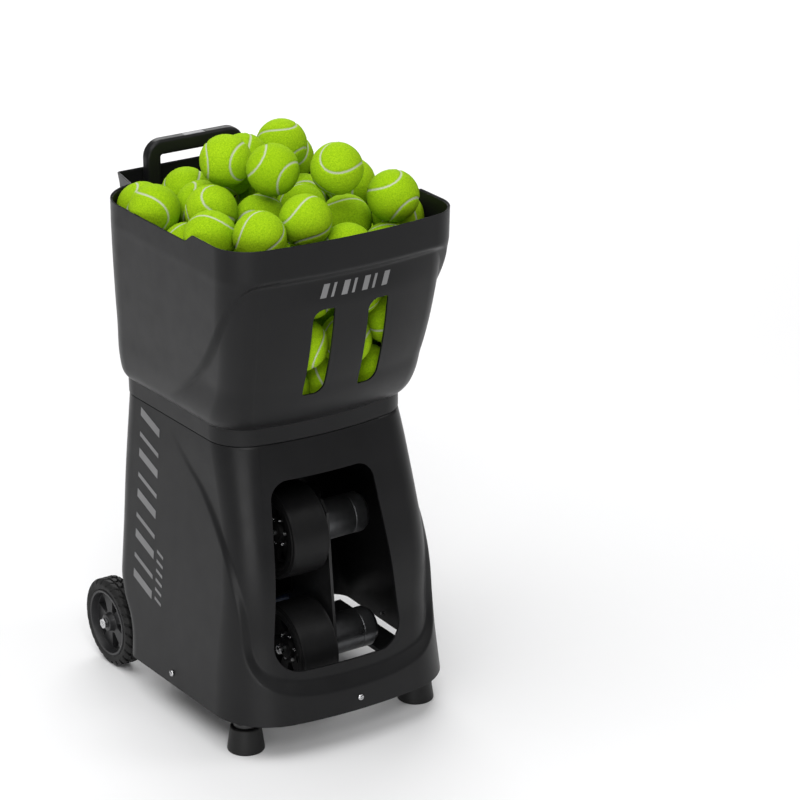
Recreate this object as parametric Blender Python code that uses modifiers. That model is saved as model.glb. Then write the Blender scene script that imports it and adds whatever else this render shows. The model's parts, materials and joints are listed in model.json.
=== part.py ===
"""Tennis ball machine: hopper, tapered base, trolley running gear and a pan-and-tilt launching head.

Metres, +Z up. The machine stands on z = 0, faces -Y, and its origin is under the middle of its footprint.
"""

from math import acos, atan2, cos, pi, radians, sin, sqrt

import bmesh
import bpy
from mathutils import Matrix, Vector

# ---------------------------------------------------------------- driving dimensions
GAP = 0.0003  # clearance kept between neighbouring solids
WALL = 0.003  # moulded shell thickness

BASE_BOTTOM_Z = 0.050
SEAM_Z = 0.411  # parting line between base and hopper
RIM_FRONT_Z = 0.698
RIM_SIDE_Z = 0.685
RIM_STEP_START_Y = -0.112  # the side rim steps down between these two
RIM_STEP_END_Y = -0.086

REAR_FLARE = 0.004  # how much wider each side is at the rear than at the front, below the hopper's belly
FLARE_END_Z = (0.440, 0.520)

# z, half width in front, y of the front corners, y of the rear wall, front and rear corner radius, and
# front bow: how far the middle of the front stands ahead of its corners
BASE_PROFILE = (
    (0.050, 0.1680, -0.2175, 0.097, 0.085, 0.030, 0.008),
    (0.080, 0.1655, -0.2125, 0.099, 0.082, 0.030, 0.008),
    (0.105, 0.1635, -0.2080, 0.108, 0.079, 0.030, 0.009),
    (0.130, 0.1614, -0.2030, 0.127, 0.073, 0.032, 0.009),
    (0.160, 0.1590, -0.1970, 0.139, 0.065, 0.035, 0.009),
    (0.200, 0.1555, -0.1915, 0.141, 0.056, 0.037, 0.009),
    (0.230, 0.1530, -0.1860, 0.142, 0.052, 0.038, 0.010),
    (0.300, 0.1472, -0.1695, 0.145, 0.048, 0.040, 0.010),
    (0.360, 0.1425, -0.1520, 0.146, 0.050, 0.043, 0.010),
    (0.411, 0.1385, -0.1375, 0.146, 0.054, 0.045, 0.010),
)
HOPPER_PROFILE = (
    (0.411, 0.1395, -0.1375, 0.146, 0.054, 0.045, 0.010),
    (0.434, 0.1400, -0.1370, 0.146, 0.054, 0.045, 0.010),
    (0.4345, 0.1410, -0.1385, 0.147, 0.053, 0.045, 0.010),
    (0.441, 0.1455, -0.1440, 0.149, 0.050, 0.045, 0.012),
    (0.450, 0.1485, -0.1500, 0.150, 0.050, 0.046, 0.014),
    (0.485, 0.1550, -0.1685, 0.151, 0.050, 0.050, 0.018),
    (0.545, 0.1610, -0.1870, 0.151, 0.050, 0.056, 0.019),
    (0.605, 0.1655, -0.1990, 0.151, 0.050, 0.062, 0.018),
    (0.644, 0.1680, -0.2055, 0.151, 0.050, 0.066, 0.012),
    (0.658, 0.1690, -0.2080, 0.151, 0.050, 0.068, 0.010),
    (0.700, 0.1695, -0.2090, 0.151, 0.050, 0.070, 0.010),
)

# Rear column: the raised back that houses the trolley handle's tubes. z, depth, half width.
COLUMN_PROFILE = (
    (0.165, 0.000, 0.092),
    (0.190, 0.052, 0.092),
    (0.440, 0.049, 0.092),
    (0.700, 0.053, 0.112),
)
COLUMN_SLANT = 0.010  # how much narrower the column's back is, each side
COLUMN_STEP = 0.001  # the rear corners end this far from the column

# Recessed front panel of the hopper. Its edge runs down the side as an S: y of the edge at each z.
PANEL_RECESS = 0.007
PANEL_TOP_Z = 0.651
PANEL_EDGE = (
    (0.445, 0.000),
    (0.469, -0.038),
    (0.4995, -0.0795),
    (0.526, -0.109),
    (0.561, -0.138),
    (0.592, -0.159),
    (0.633, -0.187),
    (0.654, -0.206),
)
PANEL_FADE_LOW_Z = 0.445
PANEL_FADE_HIGH_Z = 0.500

# Recessed face of the base round the launching window. Its edge is a U: a rounded bottom across the front,
# then two lines that rise along the sides. z and distance round the wall from the front's middle.
FACE_RECESS = 0.0080
FACE_SIDE_SHARE = 0.45  # how much of the recess is left beside the window
FACE_SIDE_Z = (0.150, 0.260)
FACE_FADE_Z = (0.280, 0.405)
FACE_BOTTOM_Z = 0.091
FACE_ROUND_TOP_Z = 0.166  # the rounded bottom reaches up to here
FACE_ROUNDNESS = 3.0
FACE_LEDGE = (0.018, 0.009)  # width of the sloping ledge at the bottom and at the sides
FACE_EDGE = (
    (0.166, 0.1505),
    (0.195, 0.1520),
    (0.226, 0.1570),
    (0.262, 0.1650),
    (0.338, 0.2050),
    (0.364, 0.2360),
    (0.411, 0.2850),
)

SLOT_WIDTH = 0.030
SLOT_HEIGHT = 0.122
SLOT_CENTRES_X = (-0.040, 0.040)
SLOT_CENTRE_Z = 0.544

WINDOW_CENTRE_X = -0.0150
WINDOW_BOTTOM_Z = 0.1145
WINDOW_TOP_Z = 0.3635
WINDOW_HALF_BOTTOM = 0.0945
WINDOW_HALF_TOP = 0.077
WINDOW_BOTTOM_RADIUS = 0.036
WINDOW_TOP_RADIUS = 0.026

HEAD_X = -0.0235  # middle of the launching head
PAN_Y = 0.051
TILT_Y = -0.006
TILT_Z = 0.205
UPPER_WHEEL = (-0.085, 0.259)  # y, z of the throwing-wheel axes
LOWER_WHEEL = (-0.1055, 0.1005)
THROW_RADIUS = 0.061
THROW_WIDTH = 0.057
THROW_HUB_RADIUS = 0.050

TROLLEY_Y = 0.1656
TROLLEY_RADIUS = 0.061
TROLLEY_RIM_RADIUS = 0.0465
TROLLEY_INNER_X = 0.132
TROLLEY_OUTER_X = 0.162
RIM_OPENINGS = 5
RIM_OPENING_TURN = 38.0  # degrees from the rear to the middle of the first opening
RIM_OPENING_SPREAD = 36.0  # degrees
RIM_OPENING_RADII = (0.0155, 0.0390)
AXLE_RADIUS = 0.005
EAR_X = 0.100  # the chassis ears that hold the axle
EAR_THICKNESS = 0.006

FOOT_X = 0.1326
FOOT_Y = -0.153
FOOT_HEIGHT = 0.034
FOOT_BOTTOM_RADIUS = 0.0247
FOOT_TOP_RADIUS = 0.0198

HANDLE_Y = 0.1770
HANDLE_TUBE_X = 0.0635
HANDLE_TOP_Z = 0.729
HANDLE_BAR = 0.021
HANDLE_DEPTH = 0.017
HANDLE_CORNER = 0.024
GRIP_BOTTOM_Z = 0.654
INNER_TUBE_RADIUS = 0.0075
GUIDE_TUBE_RADIUS = 0.010
GUIDE_BOTTOM_Z = 0.195
GUIDE_TOP_Z = 0.640
INNER_TUBE_BOTTOM_Z = 0.300

DECK_Z = 0.372
DECK_THICKNESS = 0.004
FLOOR_Z = 0.4395
FLOOR_THICKNESS = 0.004
BALL_PASSAGE_RADIUS = 0.0358  # a 67 mm ball drops through with 2 mm to spare
DROP_TUBE_BOTTOM_Z = 0.3785
DROP_TUBE_RADIUS = 0.0385
CAROUSEL_RADIUS = 0.110
CAROUSEL_HEIGHT = 0.030
CAROUSEL_ARMS = 5
FEED_MOTOR_Z = 0.392

PAN_RING_LOW_Z = 0.3580
PAN_RING_HIGH_Z = 0.3714
PAN_RING_RADIUS = 0.0600
PAN_RING_TEETH = 40
PAN_PINION_RADIUS = 0.0119
PAN_PINION_OFFSET = 0.0723  # between the axes of the ring and its pinion
PINION_TEETH = 8
TOOTH_DEPTH = 0.0029
PAN_MOTOR_Z = 0.312
TILT_PINION_Z = 0.2608
TILT_PINION_RADIUS = 0.0105
TILT_SECTOR_RADIUS = 0.0448
TILT_SECTOR_SPAN = 60  # degrees

COLUMN_FACE_Y = 0.1955  # back of the rear column where the socket and rocker sit
PANEL_FACE_Y = 0.1965
BUTTON_XS = (-0.034, -0.010, 0.014)
BUTTON_Z = 0.292
SOCKET_X = 0.030  # the charge socket stands here, and the power rocker the same way to the other side
SOCKET_Z = 0.235

# ---------------------------------------------------------------- colours: colour, roughness, metallic
FINISHES = {
    "shell_black": ((0.022, 0.022, 0.023), 0.45, 0.0),
    "hopper_black": ((0.020, 0.020, 0.021), 0.45, 0.0),
    "inner_black": ((0.008, 0.008, 0.008), 0.6, 0.0),
    "rubber": ((0.012, 0.012, 0.012), 0.75, 0.0),
    "tread_grey": ((0.020, 0.020, 0.021), 0.6, 0.0),
    "rim_black": ((0.016, 0.016, 0.017), 0.4, 0.0),
    "bright_steel": ((0.62, 0.62, 0.63), 0.22, 1.0),
    "plated_steel": ((0.32, 0.33, 0.34), 0.35, 1.0),
    "painted_frame": ((0.018, 0.018, 0.019), 0.5, 0.0),
    "motor_grey": ((0.06, 0.06, 0.065), 0.4, 0.8),
    "handle_black": ((0.014, 0.014, 0.015), 0.42, 0.0),
    "nylon_white": ((0.55, 0.55, 0.53), 0.5, 0.0),
    "board_green": ((0.015, 0.10, 0.035), 0.45, 0.0),
    "battery_blue": ((0.02, 0.05, 0.13), 0.5, 0.0),
    "button_grey": ((0.20, 0.20, 0.21), 0.5, 0.0),
    "panel_black": ((0.010, 0.010, 0.011), 0.25, 0.0),
}


# ---------------------------------------------------------------- scene helpers
def clear_scene():
    for obj in list(bpy.data.objects):
        bpy.data.objects.remove(obj, do_unlink=True)


def collection(name, hidden=False):
    made = bpy.data.collections.new(name)
    made.hide_render = hidden
    bpy.context.scene.collection.children.link(made)
    return made


clear_scene()
PARTS = collection("tennis_ball_machine")
CUTTERS = collection("cutters", hidden=True)


def material(name):
    colour, roughness, metallic = FINISHES[name]
    made = bpy.data.materials.new(name)
    made.use_nodes = True
    shader = made.node_tree.nodes["Principled BSDF"]
    shader.inputs["Base Color"].default_value = (*colour, 1.0)
    shader.inputs["Roughness"].default_value = roughness
    shader.inputs["Metallic"].default_value = metallic
    made.diffuse_color = (*colour, 1.0)
    return made


def add_object(name, mesh, finish=None, origin=(0, 0, 0)):
    """Links a mesh in world coordinates as an object whose origin is at the given point."""
    obj = bpy.data.objects.new(name, mesh)
    mesh.transform(Matrix.Translation(-Vector(origin)))
    obj.location = origin
    if finish:
        PARTS.objects.link(obj)
        mesh.materials.append(material(finish))
    else:
        CUTTERS.objects.link(obj)
        obj.hide_render = True
        obj.display_type = "WIRE"
    mesh.shade_smooth()
    mesh.set_sharp_from_angle(angle=radians(35))
    return obj


def mesh_from(bm, name):
    mesh = bpy.data.meshes.new(name)
    bm.to_mesh(mesh)
    bm.free()
    return mesh


def box(name, low, high, finish=None, origin=(0, 0, 0), bevel=0.0):
    """A box between two corners, with its edges rounded where bevel is given."""
    bm = bmesh.new()
    size = Vector(high) - Vector(low)
    middle = (Vector(high) + Vector(low)) / 2
    bmesh.ops.create_cube(bm, size=1.0)
    bmesh.ops.transform(bm, matrix=Matrix.Translation(middle) @ Matrix.Diagonal((*size, 1)), verts=bm.verts)
    obj = add_object(name, mesh_from(bm, name), finish, origin)
    if bevel:
        rounding = obj.modifiers.new("edges", "BEVEL")
        rounding.width = bevel
        rounding.segments = 2
    return obj


AXIS_TURNS = {
    "X": Matrix.Rotation(pi / 2, 4, "Y"),
    "Y": Matrix.Rotation(-pi / 2, 4, "X"),
    "Z": Matrix.Identity(4),
}


def cylinder(name, centre, radius, length, axis="Z", finish=None, top_radius=None, sides=20, origin=None):
    """A cylinder or cone about its centre; top_radius is at the end that the axis points to."""
    bm = bmesh.new()
    bmesh.ops.create_cone(
        bm,
        cap_ends=True,
        segments=sides,
        radius1=radius,
        radius2=radius if top_radius is None else top_radius,
        depth=length,
    )
    bmesh.ops.transform(bm, matrix=Matrix.Translation(centre) @ AXIS_TURNS[axis], verts=bm.verts)
    return add_object(name, mesh_from(bm, name), finish, centre if origin is None else origin)


def turned(name, profile, centre, axis="Z", finish=None, sides=20):
    """A profile of (radius, height) points, closed as a loop, turned by a Screw modifier.

    The points run down the outer side first. A profile that starts and ends on the axis makes a solid bar.
    """
    mesh = bpy.data.meshes.new(name)
    count = len(profile)
    on_axis = profile[0][0] == 0.0
    edges = [(i, i + 1) for i in range(count - 1)]
    if not on_axis:
        edges.append((count - 1, 0))
    mesh.from_pydata([(r, 0, h) for r, h in profile], edges, [])
    obj = bpy.data.objects.new(name, mesh)
    obj.matrix_world = Matrix.Translation(centre) @ AXIS_TURNS[axis]
    screw = obj.modifiers.new("turn", "SCREW")
    screw.steps = sides
    screw.render_steps = sides
    screw.use_merge_vertices = True
    screw.merge_threshold = 0.00002
    screw.use_smooth_shade = True
    (PARTS if finish else CUTTERS).objects.link(obj)
    if finish:
        mesh.materials.append(material(finish))
    else:
        obj.hide_render = True
        obj.display_type = "WIRE"
    return obj


def ring(name, centre, outer, inner, length, axis="Z", finish=None, sides=20, rounding=0.0):
    """A tube or ring about its centre, its outer edges rounded where rounding is given."""
    half = length / 2
    if rounding:
        diagonal = rounding * (1 - sqrt(0.5))
        profile = [
            (outer - rounding, half),
            (outer - diagonal, half - diagonal),
            (outer, half - rounding),
            (outer, -half + rounding),
            (outer - diagonal, -half + diagonal),
            (outer - rounding, -half),
        ]
    else:
        profile = [(outer, half), (outer, -half)]
    profile += [(inner, -half), (inner, half)]
    return turned(name, profile, centre, axis, finish, sides)


def prism(name, outline, low, high, axis="Y", finish=None, origin=(0, 0, 0)):
    """A flat outline extruded between two heights along an axis, by a 2D curve that becomes a mesh."""
    curve = bpy.data.curves.new(name, "CURVE")
    curve.dimensions = "2D"
    curve.fill_mode = "BOTH"
    curve.extrude = (high - low) / 2
    spline = curve.splines.new("POLY")
    spline.points.add(len(outline) - 1)
    for point, (u, v) in zip(spline.points, outline):
        point.co = (u, v, 0, 1)
    spline.use_cyclic_u = True
    guide = bpy.data.objects.new(name + "_curve", curve)
    CUTTERS.objects.link(guide)
    bpy.context.view_layer.update()
    mesh = bpy.data.meshes.new_from_object(guide.evaluated_get(bpy.context.evaluated_depsgraph_get()))
    bpy.data.objects.remove(guide)
    bm = bmesh.new()
    bm.from_mesh(mesh)
    bmesh.ops.remove_doubles(bm, verts=bm.verts, dist=0.00001)
    bm.to_mesh(mesh)
    bm.free()
    middle = (low + high) / 2
    placings = {
        "Y": Matrix(((1, 0, 0, 0), (0, 0, 1, middle), (0, 1, 0, 0), (0, 0, 0, 1))),
        "X": Matrix(((0, 0, 1, middle), (1, 0, 0, 0), (0, 1, 0, 0), (0, 0, 0, 1))),
        "Z": Matrix.Translation((0, 0, middle)),
    }
    mesh.transform(placings[axis])
    if placings[axis].determinant() < 0:
        mesh.flip_normals()
    mesh.name = name
    return add_object(name, mesh, finish, origin)


def boolean(obj, other, operation):
    modifier = obj.modifiers.new(operation.lower(), "BOOLEAN")
    modifier.operation = operation
    modifier.object = other
    modifier.solver = "EXACT"


def cut(obj, *others):
    for other in others:
        boolean(obj, other, "DIFFERENCE")
    return obj


def join(obj, *others):
    for other in others:
        boolean(obj, other, "UNION")
    return obj


# ---------------------------------------------------------------- small geometry functions
def smooth(value, low, high):
    """0 below low, 1 above high, and a smooth step between."""
    t = min(max((value - low) / (high - low), 0.0), 1.0)
    return t * t * (3 - 2 * t)


def lookup(table, value, column=1):
    """Straight-line reading of a table whose first column rises."""
    if value <= table[0][0]:
        return table[0][column]
    for lower, upper in zip(table, table[1:]):
        if value <= upper[0]:
            share = (value - lower[0]) / (upper[0] - lower[0])
            return lower[column] + share * (upper[column] - lower[column])
    return table[-1][column]


def rounded_outline(half_width, low_y, high_y, radius, steps=6, centre_x=0.0):
    """Corner points of a rounded rectangle, going round from the low-y side."""
    points = []
    corners = ((1, low_y + radius, -90), (1, high_y - radius, 0), (-1, high_y - radius, 90),
               (-1, low_y + radius, 180))
    for side, centre_y, start in corners:
        for step in range(steps + 1):
            angle = radians(start + 90 * step / steps)
            x = centre_x + side * (half_width - radius) + radius * cos(angle)
            points.append((x, centre_y + radius * sin(angle)))
    return points


def gear_outline(centre, tip, root, teeth):
    """Trapezium teeth round a circle."""
    points = []
    pitch = 2 * pi / teeth
    for tooth in range(teeth):
        for share, radius in ((-0.36, root), (-0.16, tip), (0.16, tip), (0.36, root)):
            angle = (tooth + share) * pitch
            points.append((centre[0] + radius * cos(angle), centre[1] + radius * sin(angle)))
    return points


# ---------------------------------------------------------------- shells
FRONT_POINTS = 8
CORNER_POINTS = 7
SIDE_POINTS = 7
REAR_ARC_POINTS = 4
FRONT_TURN_ROUNDS = 5


def front_turn(width, radius, bow):
    """Where the bowed front meets its corner arcs: the half width there and the slope angle they share."""
    turn = 0.0
    for _ in range(FRONT_TURN_ROUNDS):
        reach = width - radius * (1 - sin(turn))
        turn = atan2(2 * bow, reach)
    return reach, turn


def section(profile, z):
    """One level of a shell: points x, y with their outward normals, going round from the front left."""
    width, front, rear, radius, rear_radius, bow = (lookup(profile, z, column) for column in range(1, 7))
    flare = REAR_FLARE * (1 - smooth(z, *FLARE_END_Z))
    reach, turn = front_turn(width, radius, bow)
    loop = []
    for step in range(FRONT_POINTS):
        t = -1 + 2 * step / FRONT_POINTS
        loop.append((t * reach, front - bow * (1 - t * t), sin(turn * t), -cos(turn * t)))
    right = []
    centre_y = front + radius * cos(turn)
    for step in range(CORNER_POINTS):
        angle = (turn - pi / 2) * (1 - step / CORNER_POINTS)
        right.append((width - radius + radius * cos(angle), centre_y + radius * sin(angle), cos(angle),
                      sin(angle)))
    rear_y = rear - rear_radius
    for step in range(SIDE_POINTS):
        share = step / SIDE_POINTS
        right.append((width + flare * share, centre_y + (rear_y - centre_y) * share, 1, 0))
    centre_x = width + flare - rear_radius
    half = lookup(COLUMN_PROFILE, z, 2)
    sweep = acos(min(max((half + COLUMN_STEP - centre_x) / rear_radius, 0.0), 1.0))
    for step in range(REAR_ARC_POINTS):
        angle = sweep * step / REAR_ARC_POINTS
        right.append((centre_x + rear_radius * cos(angle), rear_y + rear_radius * sin(angle), cos(angle),
                      sin(angle)))
    right.append((centre_x + rear_radius * cos(sweep), rear_y + rear_radius * sin(sweep), 0, 1))
    beyond = max(half - centre_x, 0.0)
    right.append((half, rear_y + sqrt(rear_radius**2 - beyond**2), 0, 1))
    back = rear + lookup(COLUMN_PROFILE, z)
    inner = half - COLUMN_SLANT
    right.append((inner, back, 0, 1))
    right.append((inner / 2, back, 0, 1))
    middle = [(0.0, back, 0, 1)]
    return loop + right + middle + [(-x, y, -nx, ny) for x, y, nx, ny in reversed(right)]


def distances_round(loop):
    """Each point's distance along the wall from the middle of the front, the shorter way round."""
    middle = FRONT_POINTS // 2
    count = len(loop)
    distances = [0.0] * count
    for direction in (1, -1):
        travelled = 0.0
        for step in range(1, count // 2 + 1):
            here = loop[(middle + direction * step) % count]
            before = loop[(middle + direction * (step - 1)) % count]
            travelled += sqrt((here[0] - before[0]) ** 2 + (here[1] - before[1]) ** 2)
            distances[(middle + direction * step) % count] = travelled
    return distances


def loft(name, rows, finish):
    """An open tube of equal loops, given WALL thickness inwards by Solidify."""
    bm = bmesh.new()
    rings = [[bm.verts.new(point) for point in row] for row in rows]
    for lower, upper in zip(rings, rings[1:]):
        for i in range(len(lower)):
            j = (i + 1) % len(lower)
            bm.faces.new((lower[i], lower[j], upper[j], upper[i]))
    obj = add_object(name, mesh_from(bm, name), finish)
    skin = obj.modifiers.new("wall", "SOLIDIFY")
    skin.thickness = WALL
    skin.offset = -1
    skin.use_even_offset = True
    return obj


def hopper_point(x, y, nx, ny, z):
    """Presses the front panel in, inside its S-shaped edge."""
    inside = smooth(lookup(PANEL_EDGE, z) - y, -0.004, 0.008)
    inside *= 1 - smooth(z, PANEL_TOP_Z - 0.007, PANEL_TOP_Z + 0.007)
    inside *= smooth(z, PANEL_FADE_LOW_Z, PANEL_FADE_HIGH_Z)
    depth = PANEL_RECESS * inside
    return (x - nx * depth, y - ny * depth, z)


def rim_height(y):
    return RIM_FRONT_Z - (RIM_FRONT_Z - RIM_SIDE_Z) * smooth(y, RIM_STEP_START_Y, RIM_STEP_END_Y)


def build_hopper_shell():
    heights = (SEAM_Z, 0.434, 0.4345, 0.441, 0.450, 0.475, 0.505, 0.545, 0.600, 0.643, 0.659)
    rows = [[hopper_point(*point, z) for point in section(HOPPER_PROFILE, z)] for z in heights]
    rows.append([(x, y, rim_height(y)) for x, y, _, _ in section(HOPPER_PROFILE, RIM_FRONT_Z)])
    shell = loft("hopper_shell", rows, "hopper_black")
    for centre_x in SLOT_CENTRES_X:
        shell_slot = prism("slot_cutter", slot_outline(centre_x), -0.260, -0.120, "Y")
        cut(shell, shell_slot)
    return shell


def slot_outline(centre_x):
    """A leaning slot: two opposite corners are widely rounded, the other two only a little."""
    low_z = SLOT_CENTRE_Z - SLOT_HEIGHT / 2
    high_z = SLOT_CENTRE_Z + SLOT_HEIGHT / 2
    left = centre_x - SLOT_WIDTH / 2
    right = centre_x + SLOT_WIDTH / 2
    points = []
    corners = ((left, low_z, 1, 1, 0.003, 180), (right, low_z, -1, 1, 0.015, 270),
               (right, high_z, -1, -1, 0.003, 0), (left, high_z, 1, -1, 0.015, 90))
    for x, z, inward_x, inward_z, radius, start in corners:
        steps = 5 if radius > 0.01 else 2
        for step in range(steps + 1):
            angle = radians(start + 90 * step / steps)
            points.append((x + inward_x * radius + radius * cos(angle),
                           z + inward_z * radius + radius * sin(angle)))
    return points


def inside_face(distance, z):
    """How far inside the recessed face's edge a point is, in metres, and the ledge's width there."""
    bottom_ledge, side_ledge = FACE_LEDGE
    if z >= FACE_ROUND_TOP_Z:
        return lookup(FACE_EDGE, z) - distance, side_ledge
    power = FACE_ROUNDNESS
    half = FACE_EDGE[0][1]
    height = FACE_ROUND_TOP_Z - FACE_BOTTOM_Z
    across = distance / half
    down = (FACE_ROUND_TOP_Z - z) / height
    reach = (across**power + down**power) ** (1 / power)
    steepness = sqrt((across ** (power - 1) / half) ** 2 + (down ** (power - 1) / height) ** 2)
    slope = steepness / reach ** (power - 1)
    share = (down / reach) ** power
    return (1 - reach) / slope, side_ledge + (bottom_ledge - side_ledge) * share


def face_depth(distance, z):
    inside, ledge = inside_face(distance, z)
    shallower = (1 - FACE_SIDE_SHARE) * smooth(z, *FACE_SIDE_Z)
    depth = FACE_RECESS * (1 - shallower) * (1 - smooth(z, *FACE_FADE_Z))
    return depth * min(max(inside / ledge + 0.5, 0.0), 1.0)


def base_row(z):
    loop = section(BASE_PROFILE, z)
    row = []
    for (x, y, nx, ny), distance in zip(loop, distances_round(loop)):
        depth = face_depth(distance, z)
        row.append((x - nx * depth, y - ny * depth, z))
    return row


def window_outline():
    """The launching window: a rounded opening, a little wider at the bottom."""
    points = []
    corners = (
        (-WINDOW_HALF_BOTTOM, WINDOW_BOTTOM_Z, 1, 1, WINDOW_BOTTOM_RADIUS, 180),
        (WINDOW_HALF_BOTTOM, WINDOW_BOTTOM_Z, -1, 1, WINDOW_BOTTOM_RADIUS, 270),
        (WINDOW_HALF_TOP, WINDOW_TOP_Z, -1, -1, WINDOW_TOP_RADIUS, 0),
        (-WINDOW_HALF_TOP, WINDOW_TOP_Z, 1, -1, WINDOW_TOP_RADIUS, 90),
    )
    for x, z, inward_x, inward_z, radius, start in corners:
        for step in range(6):
            angle = radians(start + 90 * step / 5)
            corner_x = WINDOW_CENTRE_X + x + inward_x * radius
            points.append((corner_x + radius * cos(angle), z + inward_z * radius + radius * sin(angle)))
    return points


DOOR_HALF_WIDTH = 0.062
DOOR_LOW_Z = 0.086
DOOR_HIGH_Z = 0.149
DOOR_GAP = 0.0006
SCREW_RADIUS = 0.0045
SCREW_HOLE_RADIUS = 0.0028
SCREW_Z = 0.066
SIDE_SCREW_Y = -0.027


def build_base_shell(name="base_shell", finish="shell_black"):
    heights = (BASE_BOTTOM_Z, 0.0820, 0.1000, 0.115, 0.130, 0.148, 0.166, 0.190, 0.230, 0.270, 0.310, 0.360)
    rows = [base_row(z) for z in heights]
    rows.append(base_row(SEAM_Z - GAP))
    return loft(name, rows, finish)


def cut_base_shell(shell):
    window = prism("window_cutter", window_outline(), -0.260, -0.100, "Y")
    door = box("door_hole", (-DOOR_HALF_WIDTH - DOOR_GAP, 0.080, DOOR_LOW_Z - DOOR_GAP),
               (DOOR_HALF_WIDTH + DOOR_GAP, 0.180, DOOR_HIGH_Z + DOOR_GAP))
    panel = box("panel_hole", (-0.048, 0.170, 0.274), (0.048, 0.220, 0.356))
    socket = cylinder("socket_hole", (SOCKET_X, COLUMN_FACE_Y, SOCKET_Z), 0.0105, 0.030, "Y")
    rocker = box("rocker_hole", (-SOCKET_X - 0.012, 0.180, SOCKET_Z - 0.0075),
                 (-SOCKET_X + 0.012, 0.210, SOCKET_Z + 0.0075))
    cut(shell, window, door, panel, socket, rocker)
    for side in (-1, 1):
        slot_x = side * EAR_X
        room = EAR_THICKNESS / 2 + 0.0015
        cut(shell, box("ear_slot", (slot_x - room, 0.080, 0.040), (slot_x + room, 0.130, 0.081)))
    cut(shell, cylinder("front_screw_hole", (0.0, -0.220, SCREW_Z), SCREW_HOLE_RADIUS, 0.030, "Y",
                        sides=12))
    for side in (-1, 1):
        centre = (side * 0.167, SIDE_SCREW_Y, SCREW_Z)
        cut(shell, cylinder("side_screw_hole", centre, SCREW_HOLE_RADIUS, 0.030, "X", sides=12))
    return shell


def build_battery_door():
    """A flap cut from the same surface as the rear wall, hinged along its top edge."""
    door = build_base_shell("battery_door", "shell_black")
    keep = box("door_keep", (-DOOR_HALF_WIDTH, 0.070, DOOR_LOW_Z), (DOOR_HALF_WIDTH, 0.190, DOOR_HIGH_Z))
    boolean(door, keep, "INTERSECT")
    hinge = Vector((0.0, 0.1375, DOOR_HIGH_Z))
    door.data.transform(Matrix.Translation(-hinge))
    door.location = hinge
    return door


def build_screw(name, centre, axis, turn):
    """A domed screw head with its shank, pointing into the shell."""
    profile = [(0.0, 0.0030), (0.0022, 0.0026), (0.0038, 0.0015), (SCREW_RADIUS, 0.0), (0.0024, 0.0)]
    profile += [(0.0024, -0.009), (0.0, -0.009)]
    screw = turned(name, profile, centre, "Z", "bright_steel", sides=16)
    screw.matrix_world = Matrix.Translation(centre) @ Matrix.Rotation(turn, 4, axis)
    return screw


# ---------------------------------------------------------------- hopper's inner parts
def build_feed():
    centre = (0.0, TILT_Y)
    outline = rounded_outline(0.132, -0.126, 0.126, 0.040)
    floor = prism("hopper_floor", outline, FLOOR_Z, FLOOR_Z + FLOOR_THICKNESS, "Z", "inner_black")
    cut(floor, cylinder("ball_hole", (HEAD_X, PAN_Y, FLOOR_Z), BALL_PASSAGE_RADIUS + 0.0007, 0.03))
    cut(floor, cylinder("feed_shaft_hole", (*centre, FLOOR_Z), 0.006, 0.03, sides=16))
    low = FLOOR_Z + FLOOR_THICKNESS + 0.001
    high = low + CAROUSEL_HEIGHT
    hub_profile = [(0.010, high + 0.012), (0.020, high + 0.006), (0.026, high - 0.006), (0.027, low),
                   (0.0036, low)]
    hub_profile += [(0.0036, low + 0.024), (0.0, low + 0.024)]
    hub_profile.insert(0, (0.0, high + 0.013))
    carousel = turned("feed_carousel", [(r, h - low) for r, h in hub_profile], (*centre, low), "Z",
                      "tread_grey")
    for arm in range(CAROUSEL_ARMS):
        angle = 2 * pi * arm / CAROUSEL_ARMS + radians(12)
        paddle = box("paddle", (0.020, -0.003, low), (CAROUSEL_RADIUS, 0.003, high))
        paddle.data.transform(Matrix.Translation((*centre, 0)) @ Matrix.Rotation(angle, 4, "Z"))
        join(carousel, paddle)
    body_height = FLOOR_Z - GAP - FEED_MOTOR_Z
    tip = low + 0.022 - FEED_MOTOR_Z
    profile = [(0.0, tip), (0.003, tip), (0.003, body_height), (0.018, body_height), (0.018, 0.0),
               (0.0, 0.0)]
    turned("feed_motor", profile, (*centre, FEED_MOTOR_Z), "Z", "motor_grey", sides=24)
    length = FLOOR_Z - 2 * GAP - DROP_TUBE_BOTTOM_Z
    ring("drop_tube", (HEAD_X, PAN_Y, DROP_TUBE_BOTTOM_Z + length / 2), DROP_TUBE_RADIUS,
         BALL_PASSAGE_RADIUS, length,
         "Z", "inner_black", sides=32)


# ---------------------------------------------------------------- deck, board and pan drive
def build_deck():
    outline = rounded_outline(0.133, -0.122, 0.130, 0.042)
    deck = prism("mechanism_deck", outline, DECK_Z, DECK_Z + DECK_THICKNESS, "Z", "painted_frame")
    cut(deck, cylinder("deck_ball_hole", (HEAD_X, PAN_Y, DECK_Z), BALL_PASSAGE_RADIUS + 0.0017, 0.03))
    cut(deck, cylinder("pan_shaft_hole", (HEAD_X - PAN_PINION_OFFSET, PAN_Y, DECK_Z), 0.0045, 0.03,
                       sides=16))
    board_z = DECK_Z + DECK_THICKNESS + 0.004
    board = box("controller_board", (0.034, -0.112, board_z), (0.116, -0.040, board_z + 0.0016),
                "board_green")
    parts = (
        ((0.040, -0.106, 0.011), (0.058, -0.094, 0.0)),
        ((0.066, -0.104, 0.007), (0.084, -0.086, 0.0)),
        ((0.092, -0.106, 0.014), (0.108, -0.096, 0.0)),
        ((0.046, -0.064, 0.009), (0.072, -0.052, 0.0)),
        ((0.084, -0.070, 0.012), (0.098, -0.050, 0.0)),
    )
    for low, high in parts:
        join(board, box("chip", (low[0], low[1], board_z + 0.001), (high[0], high[1], board_z + low[2])))


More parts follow.
